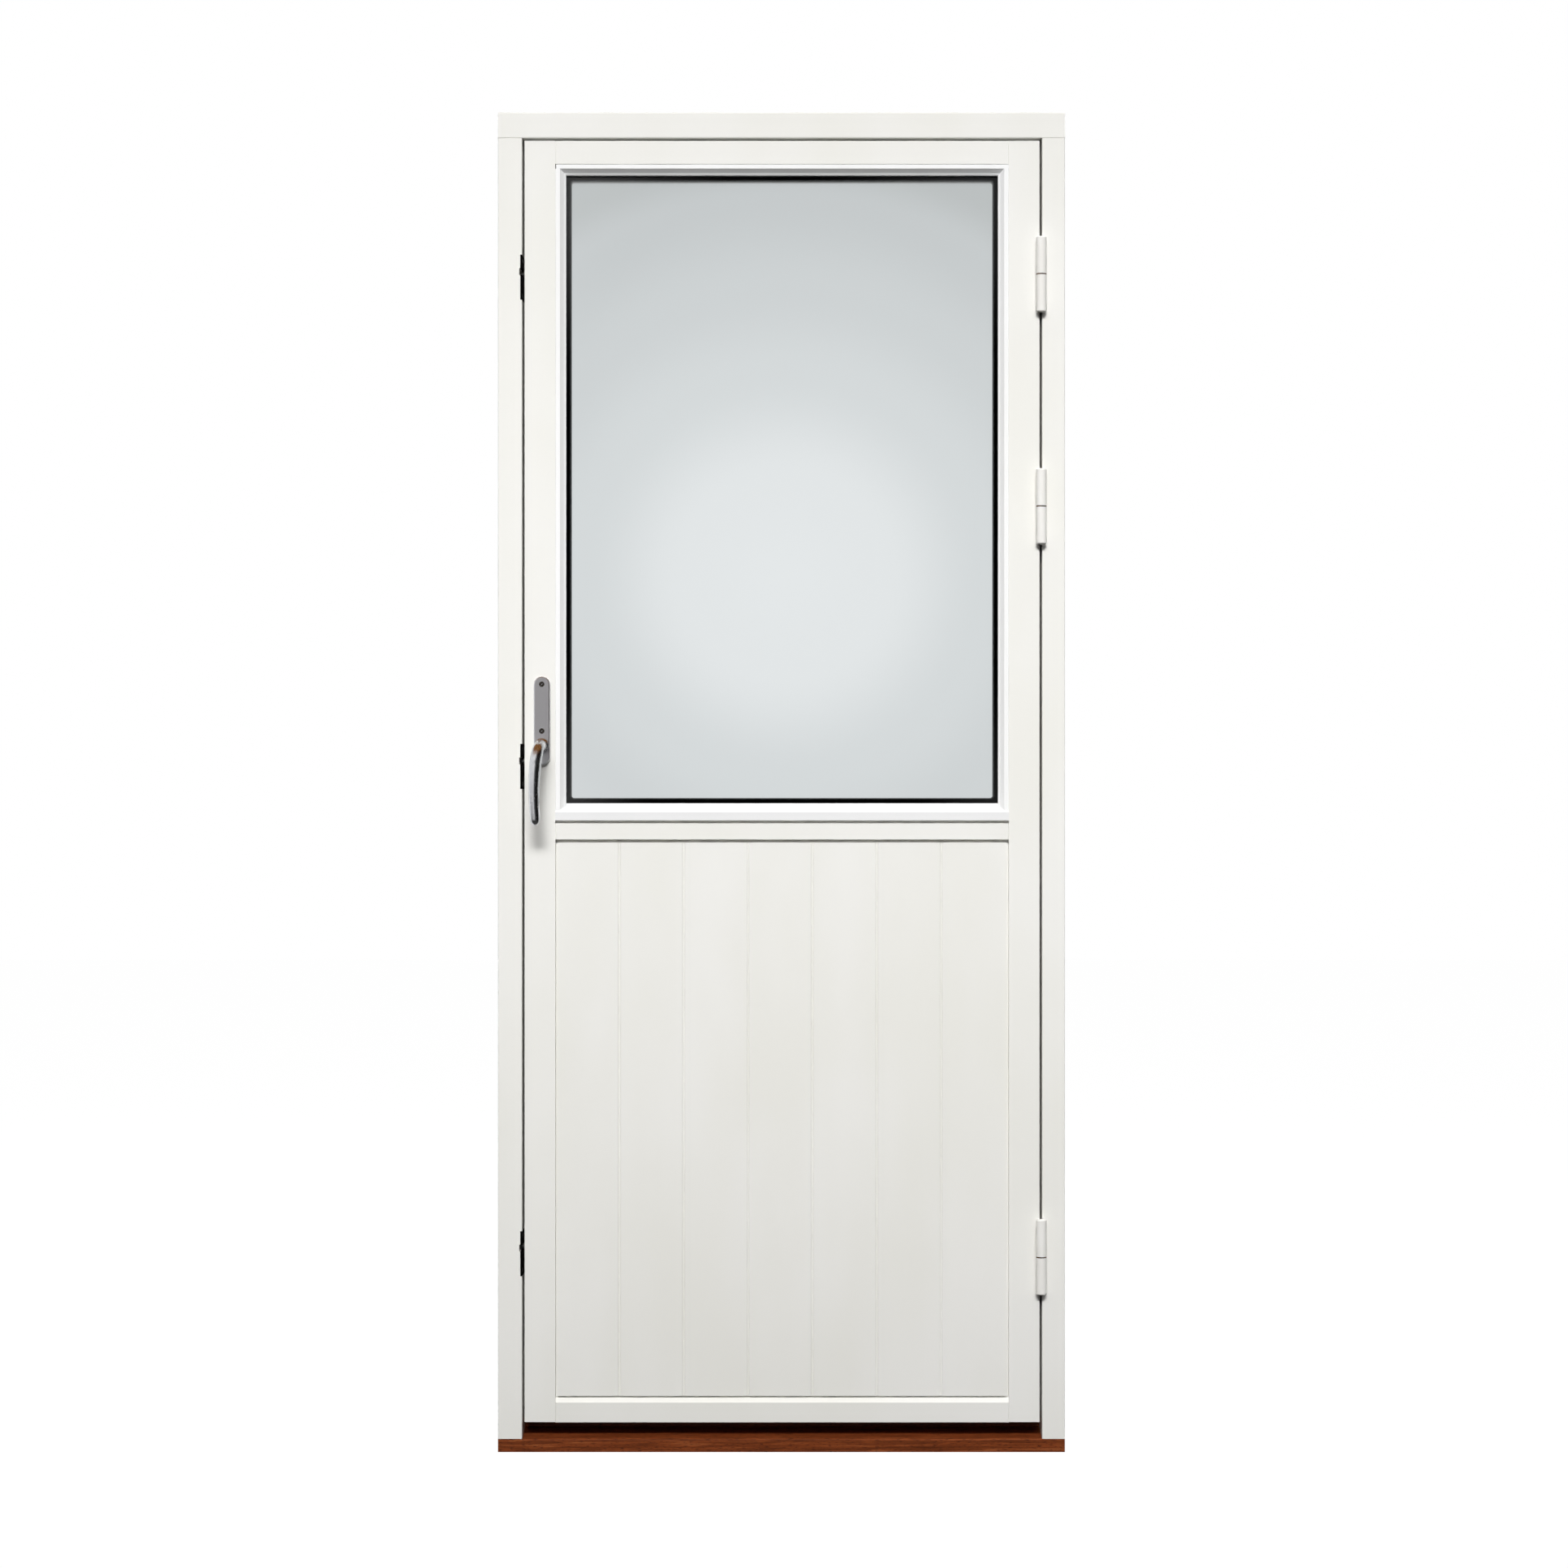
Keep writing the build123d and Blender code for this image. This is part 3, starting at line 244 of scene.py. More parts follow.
# %% Rubber and plastic
rubber, tree, shader = surface_of("extruded_rubber", "#101011", 0.62)
skin = add(tree, "ShaderNodeTexNoise", {"Vector": grained(tree, [0.9] * 3), "Scale": 1.0, "Detail": 4.0})
shade = ramp(tree, skin.outputs["Fac"], (0.3, "#0C0C0D"), (0.7, "#161617"))
tree.links.new(shade, shader.inputs["Base Color"])
relief(tree, shader, skin.outputs["Fac"], 0.03)

spacer_plastic, tree, shader = surface_of("spacer_plastic", "#232526", 0.34)
drawn = add(tree, "ShaderNodeTexNoise", {"Vector": grained(tree, [60, 1.5, 60]), "Scale": 1.0, "Detail": 3.0})
shade = ramp(tree, drawn.outputs["Fac"], (0.3, "#1B1D1E"), (0.7, "#34383A"))
tree.links.new(shade, shader.inputs["Base Color"])
relief(tree, shader, drawn.outputs["Fac"], 0.02)
print("made", rubber.name, spacer_plastic.name)

# %% Glass
glass, tree, shader = surface_of("float_glass", "#FEFFFE", 0.0, IOR=1.5, Transmission_Weight=1.0)
waves = add(tree, "ShaderNodeTexNoise", {"Vector": grained(tree, [240] * 3), "Scale": 1.0, "Detail": 0.0})
relief(tree, shader, waves.outputs["Fac"], 0.01)
print("made", glass.name)

# %% [markdown]
# ## Metals
# The handle's plates are zinc castings plated with satin chrome and brushed along their length, and
# the levers are buffed brighter. The plates face the dark opening that the camera stands in, so their
# colour is set lighter than chrome's to give the photograph's grey. The lock's steel is bright
# zinc-plated, with a cloudy tone. The strikes get a near-black steel, painted shade for the dark gap
# that they sit in, the washers are brass given a dark brown, and the plate's screws get a dark nickel,
# painted shade for the dark rings that their heads show. The hinges are steel with a white paint that
# dries with a finer peel than the door's.

# %% Satin and polished chrome
satin_chrome, tree, shader = surface_of("satin_chrome_plate", "#EDEEF2", 0.48, metallic=1.0)
brushed = add(tree, "ShaderNodeTexNoise",
              {"Vector": grained(tree, [0.5, 0.5, 16]), "Scale": 1.0, "Detail": 3.0})
streak = add(tree, "ShaderNodeMapRange",
             {"Value": brushed.outputs["Fac"], "From Min": 0.3, "From Max": 0.7,
              "To Min": 0.44, "To Max": 0.52})
tree.links.new(streak.outputs["Result"], shader.inputs["Roughness"])
relief(tree, shader, brushed.outputs["Fac"], 0.002)

polished_chrome, tree, shader = surface_of("polished_chrome_plate", "#D6D7DA", 0.24, metallic=1.0)
buffed = add(tree, "ShaderNodeTexNoise",
             {"Vector": grained(tree, [1.2, 1.2, 9]), "Scale": 1.0, "Detail": 2.0})
streak = add(tree, "ShaderNodeMapRange",
             {"Value": buffed.outputs["Fac"], "From Min": 0.3, "From Max": 0.7,
              "To Min": 0.2, "To Max": 0.28})
tree.links.new(streak.outputs["Result"], shader.inputs["Roughness"])
relief(tree, shader, buffed.outputs["Fac"], 0.002)
print("made", satin_chrome.name, polished_chrome.name)

# %% Zinc-plated steel, near-black steel as painted gap shade, brass
zinc, tree, shader = surface_of("bright_zinc_plate", "#B9BBBE", 0.36, metallic=1.0)
cloud = add(tree, "ShaderNodeTexNoise", {"Vector": grained(tree, [6] * 3), "Scale": 1.0, "Detail": 4.0})
shade = ramp(tree, cloud.outputs["Fac"], (0.3, "#A4A7AB"), (0.7, "#C9CBCC"))
tree.links.new(shade, shader.inputs["Base Color"])
relief(tree, shader, cloud.outputs["Fac"], 0.01)

# The strikes get a near-black steel: painted shade for the dark gap between leaf and jamb that they sit in.
gap_shade_steel, tree, shader = surface_of("steel_painted_gap_shade", "#141413", 0.55, metallic=1.0)
cloud = add(tree, "ShaderNodeTexNoise", {"Vector": grained(tree, [4] * 3), "Scale": 1.0, "Detail": 4.0})
shade = ramp(tree, cloud.outputs["Fac"], (0.3, "#0E0E0D"), (0.7, "#1D1C1B"))
tree.links.new(shade, shader.inputs["Base Color"])
relief(tree, shader, cloud.outputs["Fac"], 0.01)

# The washers' brass is given a dark brown colour.
brass, tree, shader = surface_of("dark_brown_brass", "#5E3E22", 0.34, metallic=1.0)
turned = add(tree, "ShaderNodeTexNoise", {"Vector": grained(tree, [6, 6, 0.3]), "Scale": 1.0, "Detail": 2.0})
shade = ramp(tree, turned.outputs["Fac"], (0.3, "#432A16"), (0.7, "#75502C"))
tree.links.new(shade, shader.inputs["Base Color"])
relief(tree, shader, turned.outputs["Fac"], 0.01)
print("made", zinc.name, gap_shade_steel.name, brass.name)

# %% Plate screws painted dark as shade
# A dark nickel for the plate's screws: painted shade for the dark rings that their heads show in the recess.
screw_shade_nickel, tree, shader = surface_of("nickel_painted_dark_shade", "#5B564F", 0.42, metallic=1.0)
cloud = add(tree, "ShaderNodeTexNoise", {"Vector": grained(tree, [1.6] * 3), "Scale": 1.0, "Detail": 3.0})
shade = ramp(tree, cloud.outputs["Fac"], (0.3, "#3E3A35"), (0.7, "#77716A"))
tree.links.new(shade, shader.inputs["Base Color"])
relief(tree, shader, cloud.outputs["Fac"], 0.01)
print("made", screw_shade_nickel.name)

# %% Painted hinge steel
hinge_paint, tree, shader = surface_of("cream_paint_on_steel", "#F3F2EE", 0.36, IOR=1.5)
peel = add(tree, "ShaderNodeTexNoise", {"Vector": grained(tree, [1.4] * 3), "Scale": 1.0, "Detail": 2.0})
tone = add(tree, "ShaderNodeTexNoise", {"Vector": grained(tree, [30, 30, 60]), "Scale": 1.0, "Detail": 2.0})
shade = ramp(tree, tone.outputs["Fac"], (0.3, "#F0EEE9"), (0.7, "#F5F4F0"))
tree.links.new(shade, shader.inputs["Base Color"])
relief(tree, shader, peel.outputs["Fac"], 0.02)
print("made", hinge_paint.name)

# %% [markdown]
# ## Dressing the pieces
# A CAD piece whose shape is right keeps it, and only gets its finish. One table says which finish
# each piece has, and curved faces are shaded smooth up to a set angle so that flat ones stay crisp.

# %% Give each piece its finish
POSITIONS = ("lower", "middle", "upper")
finishes = {
    upright_paint: ["lock_jamb", "hinge_jamb", "lock_stile", "hinge_stile"],
    crosswise_paint: ["head", "top_rail", "mid_rail", "bottom_rail"],
    upright_bead_paint: ["lock_side_bead", "hinge_side_bead"],
    crosswise_bead_paint: ["top_bead"],
    shaded_sill_bead_paint: ["sill_bead"],
    sheet_paint: ["panel_outer_sheet", "panel_inner_sheet"],
    hardwood: ["threshold"],
    beech: ["rail_dowels"],
    foam: ["panel_core"],
    nylon: ["outer_bush", "inner_bush"],
    rubber: ["frame_gasket", "edge_seal", "outer_glazing_tape", "inner_glazing_tape"],
    spacer_plastic: ["glass_spacer", "setting_blocks"],
    glass: ["outer_pane", "inner_pane"],
    satin_chrome: ["outer_backplate", "inner_backplate"],
    zinc: ["faceplate", "gearcase", "spindle", "pinion", "drive_rod", "locking_pins"]
          + [f"{place}_hinge_pin" for place in POSITIONS],
    gap_shade_steel: [f"{place}_strike" for place in POSITIONS],
    brass: ["hinge_washers"],
    hinge_paint: [f"{place}_hinge_{side}_half" for place in POSITIONS for side in ("frame", "leaf")],
}
for finish, names in finishes.items():
    for name in names:
        nodes[name].data.materials.clear()
        nodes[name].data.materials.append(finish)
print("pieces dressed:", sum(len(names) for names in finishes.values()))

# %% [markdown]
# ## Screws
# Every screw here is countersunk, so only its flat head shows, with a cross recess. They repeat, so
# one Geometry Nodes tree cuts the recess into a head, adds the shank and sets a copy at each seat.
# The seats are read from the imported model: each CAD screw lies along an axis, wide at its head.

# %% Find where each CAD screw sits
def screw_seats(node):
    """For each separate solid in the node: the middle of its head's flat, and the way that it looks."""
    mesh = bmesh.new()
    mesh.from_mesh(nodes[node].data)
    bmesh.ops.remove_doubles(mesh, verts=mesh.verts, dist=0.00001)
    seats = []
    left = set(mesh.verts)
    while left:
        island, edge = set(), [left.pop()]
        while edge:
            vertex = edge.pop()
            island.add(vertex)
            for link in vertex.link_edges:
                other = link.other_vert(vertex)
                if other in left:
                    left.discard(other)
                    edge.append(other)
        spots = [vertex.co for vertex in island]
        low = Vector(min(s[axis] for s in spots) for axis in range(3))
        high = Vector(max(s[axis] for s in spots) for axis in range(3))
        size = high - low
        along = max(range(3), key=lambda axis: size[axis])
        middle = (low + high) / 2
        axis_way = Vector(axis == along for axis in range(3))
        widths = {}
        for end in (low, high):
            near = [s for s in spots if abs(s[along] - end[along]) < 0.0002]
            widths[end[along]] = max((s - middle).cross(axis_way).length for s in near)
        head = max(widths, key=widths.get)
        facing = Vector((0, 0, 0))
        facing[along] = 1 if head == high[along] else -1
        middle[along] = head
        seats.append((middle, facing, size[along], widths[head]))
    mesh.free()
    return seats


for name in ("frame_screws", "plate_screws"):
    seats = screw_seats(name)
    print(name, len(seats), "seats, head radius", round(seats[0][3] / MM, 2), "mm, length",
          round(seats[0][2] / MM, 1), "mm")

# %% The tree that makes a set of screws
def screw_tree():
    tree = bpy.data.node_groups.new("countersunk_screws", "GeometryNodeTree")
    sockets = tree.interface
    sockets.new_socket("Geometry", in_out="INPUT", socket_type="NodeSocketGeometry")
    for name in ("Head radius", "Head height", "Shank radius", "Length", "Recess width", "Recess depth"):
        sockets.new_socket(name, in_out="INPUT", socket_type="NodeSocketFloat")
    sockets.new_socket("Finish", in_out="INPUT", socket_type="NodeSocketMaterial")
    sockets.new_socket("Geometry", in_out="OUTPUT", socket_type="NodeSocketGeometry")
    given = add(tree, "NodeGroupInput").outputs

    def maths(operation, first, second):
        return add(tree, "ShaderNodeMath", {0: first, 1: second}, operation=operation).outputs[0]

    def raised(geometry, height):
        offset = add(tree, "ShaderNodeCombineXYZ", {"Z": height}).outputs[0]
        return add(tree, "GeometryNodeTransform", {"Geometry": geometry, "Translation": offset}).outputs[0]

    head = add(tree, "GeometryNodeMeshCone",
               {"Vertices": 40, "Radius Top": given["Head radius"], "Radius Bottom": given["Shank radius"],
                "Depth": given["Head height"]}).outputs["Mesh"]
    head = raised(head, maths("MULTIPLY", given["Head height"], -1.0))
    arm = maths("MULTIPLY", given["Head radius"], 1.15)
    deep = maths("MULTIPLY", given["Recess depth"], 2.0)
    arms = []
    for sides in (("X", "Y"), ("Y", "X")):
        size = add(tree, "ShaderNodeCombineXYZ", {sides[0]: arm, sides[1]: given["Recess width"], "Z": deep})
        arms.append(add(tree, "GeometryNodeMeshCube", {"Size": size.outputs[0]}).outputs["Mesh"])
    cut = add(tree, "GeometryNodeMeshBoolean", {"Mesh 1": head}, operation="DIFFERENCE")
    for cross in arms:
        tree.links.new(cross, cut.inputs["Mesh 2"])
    shank_length = maths("SUBTRACT", given["Length"], given["Head height"])
    shank = add(tree, "GeometryNodeMeshCylinder",
                {"Vertices": 24, "Radius": given["Shank radius"], "Depth": shank_length}).outputs["Mesh"]
    halfway = maths("MULTIPLY", maths("ADD", given["Length"], given["Head height"]), -0.5)
    screw = add(tree, "GeometryNodeJoinGeometry")
    tree.links.new(cut.outputs["Mesh"], screw.inputs[0])
    tree.links.new(raised(shank, halfway), screw.inputs[0])
    facing = add(tree, "GeometryNodeInputNamedAttribute", {"Name": "facing"}, data_type="FLOAT_VECTOR")
    turn = add(tree, "FunctionNodeAlignRotationToVector", {"Vector": facing.outputs[0]}, axis="Z")
    placed = add(tree, "GeometryNodeInstanceOnPoints",
                 {"Points": given["Geometry"], "Instance": screw.outputs[0], "Rotation": turn.outputs[0]})
    real = add(tree, "GeometryNodeRealizeInstances", {"Geometry": placed.outputs[0]})
    dressed = add(tree, "GeometryNodeSetMaterial", {"Geometry": real.outputs[0], "Material": given["Finish"]})
    out = add(tree, "NodeGroupOutput")
    tree.links.new(dressed.outputs[0], out.inputs[0])
    return tree


screws = screw_tree()
print("made the tree", screws.name, "with", len(screws.nodes), "nodes")


# %% Set the screws
def set_screws(node, body, head_height, shank_radius, recess_width, recess_depth, finish, slot):
    seats = screw_seats(node)
    points = bpy.data.meshes.new(node + "_seats")
    points.from_pydata([seat[0] for seat in seats], [], [])
    facing = points.attributes.new("facing", "FLOAT_VECTOR", "POINT")
    for place, seat in enumerate(seats):
        facing.data[place].vector = seat[1]
    holder = bpy.data.objects.new(node + "_crosshead", points)
    bpy.context.scene.collection.objects.link(holder)
    modifier = holder.modifiers.new("screws", "NODES")
    modifier.node_group = screws
    sizes = {"Head radius": seats[0][3], "Head height": head_height * MM, "Shank radius": shank_radius * MM,
             "Length": seats[0][2], "Recess width": recess_width * MM, "Recess depth": recess_depth * MM,
             "Finish": finish}
    for item in screws.interface.items_tree:
        if item.in_out == "INPUT" and item.name in sizes:
            modifier[item.identifier] = sizes[item.name]
    bpy.context.view_layer.update()
    evaluated = holder.evaluated_get(bpy.context.evaluated_depsgraph_get())
    made = bpy.data.meshes.new_from_object(evaluated)
    holder.modifiers.remove(modifier)
    holder.data = made
    made.set_sharp_from_angle(angle=math.radians(35))
    for polygon in made.polygons:
        polygon.use_smooth = True
    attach(holder, body)
    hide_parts(node)
    print(holder.name, len(seats), "screws,", len(made.polygons), "faces")
    return holder


# Head height, shank radius, recess width and recess depth, in millimetres.
FRAME_SCREW, SMALL_SCREW, PLATE_SCREW = (4, 3, 1.3, 2.2), (2, 2, 0.9, 1.3), (2.4, 2.5, 1.1, 1.6)
for name, body, screw_sizes in (
        ("frame_screws", "frame", FRAME_SCREW), ("strike_screws", "frame", SMALL_SCREW),
        ("hinge_frame_screws", "frame", SMALL_SCREW), ("hinge_leaf_screws", "leaf", SMALL_SCREW),
        ("faceplate_screws", "leaf", SMALL_SCREW)):
    set_screws(name, body, *screw_sizes, zinc, "zinc_plated_steel")
# The plate's screws get the dark nickel, painted shade, instead of the plate's chrome.
set_screws("plate_screws", "leaf", *PLATE_SCREW, screw_shade_nickel, "satin_chrome")

# %% [markdown]
# ## The levers
# Each lever is one casting: a collar that turns on the plate, a neck that swells as it bends, and a
# grip that bows a little to one side and thins towards its round end. A curve with a radius at each
# point follows that line well, and a fine remesh then melts it into the collar as the caster's
# fillet does. The journal in the bush has to stay exact, so it is cut from the CAD lever.

# %% Spine of the lever, in millimetres from the spindle's axis in the plate's face
LEVER_SPINE = [
    # sideways, outwards, upwards, radius
    (0.0, 9.0, 0.0, 8.0), (0.0, 22.0, 0.0, 8.0), (-0.8, 31.0, -0.6, 8.4), (-2.4, 39.3, -5.6, 8.9),
    (-4.6, 43.5, -15.5, 9.3), (-6.6, 44.2, -31.0, 9.3), (-8.0, 44.9, -51.0, 8.7), (-8.6, 45.2, -72.0, 8.3),
    (-8.0, 45.5, -93.0, 8.0), (-6.8, 45.6, -113.0, 7.8), (-6.5, 45.6, -117.5, 7.5), (-6.3, 45.6, -121.0, 6.1),
    (-6.2, 45.6, -123.4, 3.9), (-6.1, 45.6, -124.4, 1.6),
]
COLLAR_GAP = 0.4
COLLAR_RADIUS, COLLAR_END = 11, 3
NECK_RADIUS, CONE_END = 8, 10
JOURNAL_OVERLAP = 0.05
VOXEL = 0.55
EASE_STEPS = 30


def lever_grip(across, height, plate_face):
    """The curve as a closed tube with a radius at each point."""
    line = bpy.data.curves.new("lever_spine", "CURVE")
    line.dimensions = "3D"
    line.bevel_depth = MM
    line.bevel_resolution = 10
    line.resolution_u = 14
    line.use_fill_caps = True
    spline = line.splines.new("BEZIER")
    spline.radius_interpolation = "CARDINAL"
    spline.bezier_points.add(len(LEVER_SPINE) - 1)
    for point, (sideways, outwards, upwards, radius) in zip(spline.bezier_points, LEVER_SPINE):
        point.co = (across + sideways * MM, plate_face - outwards * MM, height + upwards * MM)
        point.radius = radius
        point.handle_left_type = point.handle_right_type = "AUTO"
    return line


def drum(mesh, across, height, start, end, radius_start, radius_end):
    """Adds a closed drum or cone whose axis runs along Y."""
    place = (Matrix.Translation((across, (start + end) / 2, height))
             @ Matrix.Rotation(math.radians(90), 4, "X"))
    bmesh.ops.create_cone(mesh, cap_ends=True, segments=96, radius1=radius_end, radius2=radius_start,
                          depth=abs(end - start), matrix=place)


def finished(obj):
    """The mesh of an object with its modifiers done, and the object itself removed."""
    bpy.context.view_layer.update()
    mesh = bpy.data.meshes.new_from_object(obj.evaluated_get(bpy.context.evaluated_depsgraph_get()))
    bpy.data.objects.remove(obj)
    return mesh


def scene_object(name, data):
    made = bpy.data.objects.new(name, data)
    bpy.context.scene.collection.objects.link(made)
    return made


# %% Cast the lever and add its journal
low, high = (Vector(corner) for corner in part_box("spindle"))
SPINDLE_ACROSS, SPINDLE_HEIGHT = (low.x + high.x) / 2, (low.z + high.z) / 2
PLATE_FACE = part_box("outer_backplate")[0][1]
TURN_MIDDLE = (low.y + high.y) / 2

body = bmesh.new()
body.from_mesh(finished(scene_object("lever_line", lever_grip(SPINDLE_ACROSS, SPINDLE_HEIGHT, PLATE_FACE))))
seat = PLATE_FACE - COLLAR_GAP * MM
drum(body, SPINDLE_ACROSS, SPINDLE_HEIGHT, seat, seat - COLLAR_END * MM, COLLAR_RADIUS * MM,
     COLLAR_RADIUS * MM)
drum(body, SPINDLE_ACROSS, SPINDLE_HEIGHT, seat - COLLAR_END * MM, seat - CONE_END * MM,
     COLLAR_RADIUS * MM, NECK_RADIUS * MM)
rough = bpy.data.meshes.new("lever_rough")
body.to_mesh(rough)
body.free()
casting = scene_object("lever_casting", rough)
melt = casting.modifiers.new("melt", "REMESH")
melt.mode, melt.voxel_size = "VOXEL", VOXEL * MM
ease = casting.modifiers.new("ease", "SMOOTH")
ease.factor, ease.iterations = 0.5, EASE_STEPS
cast_mesh = finished(casting)

journal = bmesh.new()
journal.from_mesh(nodes["outer_lever"].data)
bmesh.ops.remove_doubles(journal, verts=journal.verts, dist=0.000001)
cut = bmesh.ops.bisect_plane(journal, geom=journal.verts[:] + journal.edges[:] + journal.faces[:],
                             plane_co=(0, seat + JOURNAL_OVERLAP * MM, 0), plane_no=(0, -1, 0),
                             clear_outer=True)
rim = [item for item in cut["geom_cut"] if isinstance(item, bmesh.types.BMEdge)]
bmesh.ops.triangle_fill(journal, edges=rim, use_beauty=True, use_dissolve=False)
bmesh.ops.recalc_face_normals(journal, faces=journal.faces[:])
journal.from_mesh(cast_mesh)
lever_mesh = bpy.data.meshes.new("outer_lever_cast")
journal.to_mesh(lever_mesh)
journal.free()
lever_mesh.materials.append(polished_chrome)
lever_mesh.set_sharp_from_angle(angle=math.radians(40))
for polygon in lever_mesh.polygons:
    polygon.use_smooth = True
half_turn = (Matrix.Translation((SPINDLE_ACROSS, TURN_MIDDLE, 0)) @ Matrix.Rotation(math.pi, 4, "Z")
             @ Matrix.Translation((-SPINDLE_ACROSS, -TURN_MIDDLE, 0)))
inner_mesh = lever_mesh.copy()
inner_mesh.transform(half_turn)
for name, mesh in (("outer_lever", lever_mesh), ("inner_lever", inner_mesh)):
    lever = scene_object(name + "_cast", mesh)
    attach(lever, "handle")
    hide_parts(name)
    corners = [Vector(v.co) for v in mesh.vertices]
    print(lever.name, len(mesh.polygons), "faces, from",
          [round(min(c[a] for c in corners) / MM, 1) for a in range(3)], "to",
          [round(max(c[a] for c in corners) / MM, 1) for a in range(3)])

# %% [markdown]
# ## The camera
# The photograph was taken square on, from far enough that the frame's sides stay parallel. A camera
# 5 m away at chest height gives that view, and its lens is worked out so that the picture's width
# covers what the photograph's does.

# %% Camera
PICTURE_WIDTH = 2.434
DISTANCE = 5.0
MIDDLE, EYE_HEIGHT = 0.004, 1.037
lens = bpy.data.cameras.new("portrait_lens")
lens.sensor_width = 36
lens.lens = lens.sensor_width * DISTANCE / PICTURE_WIDTH
lens.clip_start, lens.clip_end = 0.05, 100
camera = bpy.data.objects.new("studio_camera", lens)
camera.location = (MIDDLE, -DISTANCE, EYE_HEIGHT)
camera.rotation_euler = (math.radians(90), 0, 0)
bpy.context.scene.collection.objects.link(camera)
bpy.context.scene.camera = camera
print("lens:", round(lens.lens, 1), "mm")

# %% [markdown]
# ## The studio
# A wide strip of soft light hangs high in front of the door, so the paint fades gently towards the
# floor and the leaf throws its shadow on the threshold. A second soft light stands indoors. Both
# are kept out of mirrors and glass. The room is white behind the door. In front of it a bright
# screen stands to the left, the right is dark and the ceiling is warm, and that is what the chrome
# shows. Light Path tells the rays apart: the camera sees plain white, the glass sees a softly lit
# wall, the metal sees the room, and the paint gets an even light from above.

# %% Lamps
def soft_light(name, place, aim, size, power, colour="#FFFFFF"):
    lamp = bpy.data.lights.new(name, "AREA")
    lamp.shape = "RECTANGLE"
    lamp.size, lamp.size_y = size
    lamp.energy = power
    lamp.color = linear(colour)[:3]
    holder = bpy.data.objects.new(name, lamp)
    holder.location = place
    holder.rotation_euler = (Vector(aim) - Vector(place)).to_track_quat("-Z", "Y").to_euler()
    bpy.context.scene.collection.objects.link(holder)
    return holder


key = soft_light("high_strip", (-0.2, -7.3, 6.3), (0, 0, 1.22), (8.0, 1.6), 87)
key.data.spread = math.radians(35)
back = soft_light("back_softbox", (1.3, 3.4, 2.1), (0, 0.1, 1.0), (1.4, 1.4), 82)
key.visible_glossy = back.visible_glossy = False
key.visible_transmission = back.visible_transmission = False
key.visible_camera = back.visible_camera = False

# %% The room, as each kind of ray sees it
world = bpy.data.worlds.new("white_studio")
world.use_nodes = True
bpy.context.scene.world = world
room = world.node_tree
room.nodes.clear()
look = add(room, "ShaderNodeTexCoord").outputs["Generated"]
sides = add(room, "ShaderNodeSeparateXYZ", {0: look}).outputs
ray = add(room, "ShaderNodeLightPath").outputs


def spread(value, start, end):
    """A smooth step from 0 to 1 while the value goes from start to end."""
    step = add(room, "ShaderNodeMapRange", {"Value": value, "From Min": start, "From Max": end},
               interpolation_type="SMOOTHSTEP")
    return step.outputs[0]


# The wall behind the door is brightest level with the middle of the glass.
POOL_SPREAD = 0.16
POOL_HEIGHT = 0.065
pool = add(room, "ShaderNodeMapping",
           {"Vector": look, "Location": (0.0, -1 / POOL_SPREAD, -POOL_HEIGHT / POOL_SPREAD),
            "Scale": [1 / POOL_SPREAD] * 3})
far = add(room, "ShaderNodeVectorMath", {0: pool.outputs[0]}, operation="LENGTH").outputs["Value"]
wall = ramp(room, far, (0.0, "#F0F2F5"), (0.19, "#EEF0F3"), (0.39, "#DFE2E5"), (0.55, "#D7DADD"),
            (0.72, "#CED1D4"), (0.81, "#C0C3C5"), (1.0, "#B0B3B4"))

# Away from that pool the wall is plain white, which is what the glass shows from other sides.
beyond = add(room, "ShaderNodeMath", {0: spread(far, 1.1, 3.0), 1: spread(sides["Y"], 0.0, 0.1)},
             operation="MULTIPLY").outputs[0]
wall = add(room, "ShaderNodeMix", {"Factor": beyond, 6: wall, 7: linear("#F8F9F9")},
           data_type="RGBA").outputs[2]

# On the camera's side a big screen stands to the left, the right is dark, and the ceiling is warm.
across = add(room, "ShaderNodeMath", {0: sides["X"], 1: 0.5, 2: 0.5}, operation="MULTIPLY_ADD").outputs[0]
screen = ramp(room, across, (0.0, "#F4F4F6"), (0.1, "#FFFFFF"), (0.46, "#FFFFFF"), (0.57, "#7E7F82"),
              (0.66, "#2A2B2D"), (0.8, "#0A0A0B"))
near_floor = add(room, "ShaderNodeMix", {"Factor": spread(sides["Z"], -0.4, -0.05), 6: linear("#0A0908"),
                                         7: screen}, data_type="RGBA")
ceiling = add(room, "ShaderNodeMix", {"Factor": spread(sides["Z"], 0.3, 0.6), 6: near_floor.outputs[2],
                                      7: linear("#8A5A2A")}, data_type="RGBA")
# The camera looks out of a dark opening straight ahead, which is why the glass shows no white veil.
OPENING_ACROSS, OPENING_UP, OPENING_MIDDLE = 0.085, 0.12, 0.08
ahead = add(room, "ShaderNodeMapping",
            {"Vector": look, "Location": (0.0, 0.0, -OPENING_MIDDLE / OPENING_UP),
             "Scale": (1 / OPENING_ACROSS, 0.0, 1 / OPENING_UP)})
ahead = add(room, "ShaderNodeVectorMath", {0: ahead.outputs[0]}, operation="LENGTH").outputs["Value"]
opening = add(room, "ShaderNodeMix", {"Factor": spread(ahead, 0.85, 1.15), 6: linear("#1A1A1B"),
                                      7: ceiling.outputs[2]}, data_type="RGBA")
glossy = add(room, "ShaderNodeMix", {"Factor": spread(sides["Y"], 0.2, 0.6), 6: opening.outputs[2],
                                     7: linear("#FFFFFF")}, data_type="RGBA")

# The even light on the paint comes from above more than from the horizon.
even = add(room, "ShaderNodeMix", {"Factor": spread(sides["Z"], 0.25, 0.65), 6: linear("#262626"),
                                   7: linear("#C2C2C2")}, data_type="RGBA")

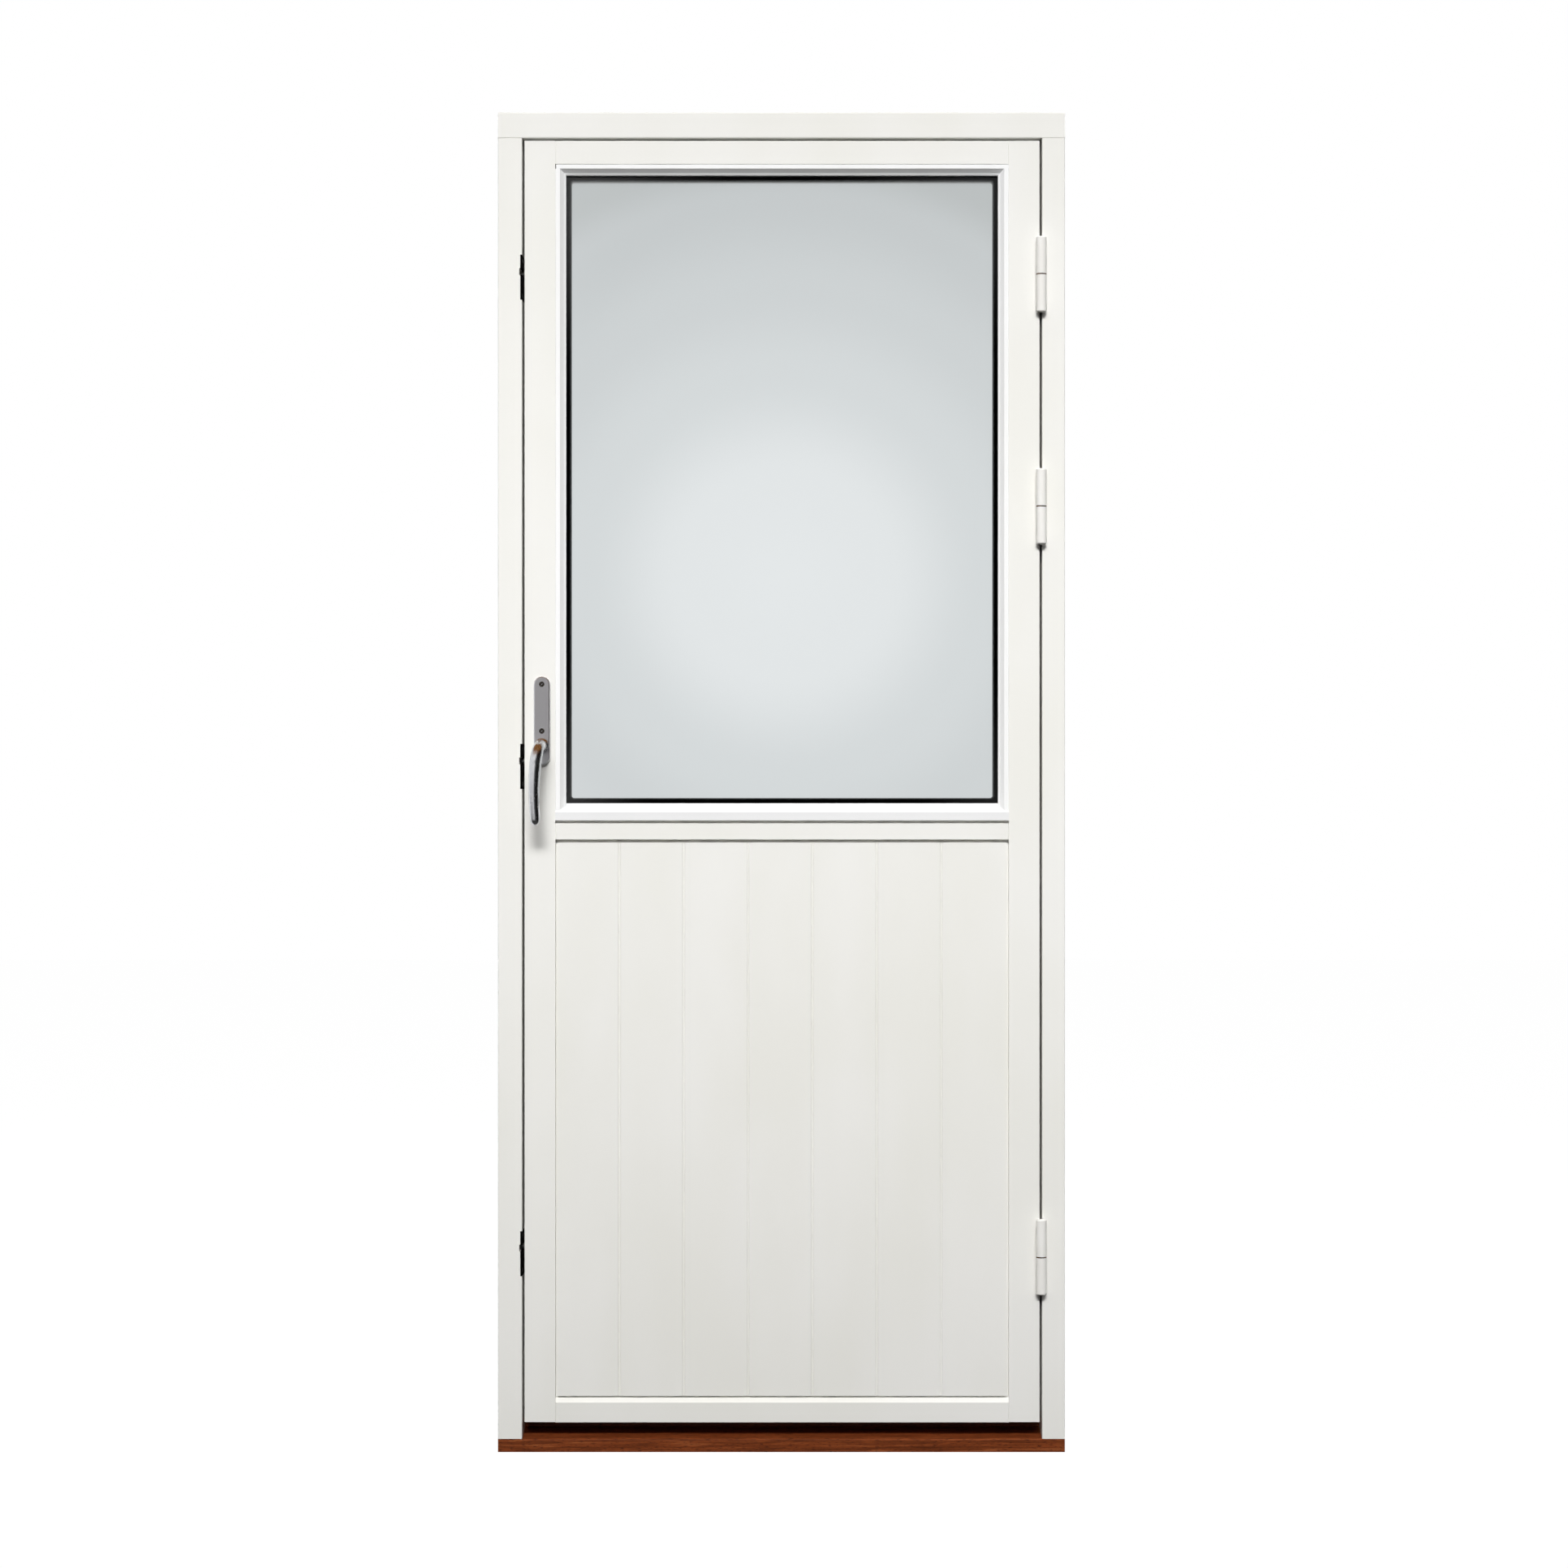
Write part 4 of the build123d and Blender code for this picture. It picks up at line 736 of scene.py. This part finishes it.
colour = even.outputs[2]
for seen, kind in ((glossy.outputs[2], "Is Glossy Ray"), (wall, "Is Transmission Ray"),
                   (linear("#FFFFFF"), "Is Camera Ray")):
    colour = add(room, "ShaderNodeMix", {"Factor": ray[kind], 6: colour, 7: seen},
                 data_type="RGBA").outputs[2]
sky = add(room, "ShaderNodeBackground", {"Color": colour, "Strength": 1.0})
add(room, "ShaderNodeOutputWorld", {"Surface": sky.outputs[0]})
print("the room has", len(room.nodes), "nodes")

# %% Floor
floor_finish = bpy.data.materials.new("white_floor")
floor_finish.use_nodes = True
tree = floor_finish.node_tree
tree.nodes.clear()
ray = add(tree, "ShaderNodeLightPath").outputs
matt = add(tree, "ShaderNodeBsdfDiffuse", {"Color": linear("#444443")})
white = add(tree, "ShaderNodeEmission", {"Color": linear("#FFFFFF"), "Strength": 0.975})
faint = add(tree, "ShaderNodeBsdfDiffuse", {"Color": linear("#3A3A3A")})
lit = add(tree, "ShaderNodeAddShader", {0: white.outputs[0], 1: faint.outputs[0]})
place = add(tree, "ShaderNodeNewGeometry").outputs["Position"]
depth = add(tree, "ShaderNodeSeparateXYZ", {0: place}).outputs["Y"]
backward = add(tree, "ShaderNodeMath", {0: depth, 1: 0.0}, operation="GREATER_THAN")
mirrored = add(tree, "ShaderNodeMath", {0: ray["Is Glossy Ray"], 1: backward.outputs[0]},
               operation="MULTIPLY")
seen = add(tree, "ShaderNodeMath", {0: ray["Is Camera Ray"], 1: mirrored.outputs[0]}, operation="MAXIMUM")
seen = add(tree, "ShaderNodeMath", {0: seen.outputs[0], 1: ray["Is Transmission Ray"]}, operation="MAXIMUM")
both = add(tree, "ShaderNodeMixShader", {0: seen.outputs[0], 1: matt.outputs[0], 2: lit.outputs[0]})
add(tree, "ShaderNodeOutputMaterial", {"Surface": both.outputs[0]})

ground = bmesh.new()
bmesh.ops.create_grid(ground, x_segments=1, y_segments=1, size=14)
floor_mesh = bpy.data.meshes.new("studio_floor")
ground.to_mesh(floor_mesh)
ground.free()
floor_mesh.transform(Matrix.Translation((0, 0, -0.0005)))
floor_mesh.materials.append(floor_finish)
floor = bpy.data.objects.new("studio_floor", floor_mesh)
bpy.context.scene.collection.objects.link(floor)
print("the floor lies at", floor_mesh.vertices[0].co.z)

# %% [markdown]
# ## Finish
# The view transform is Standard, so that a colour renders about as it is written. The dressed door
# must not be larger than the CAD model.

# %% View transform
bpy.context.scene.view_settings.view_transform = "Standard"
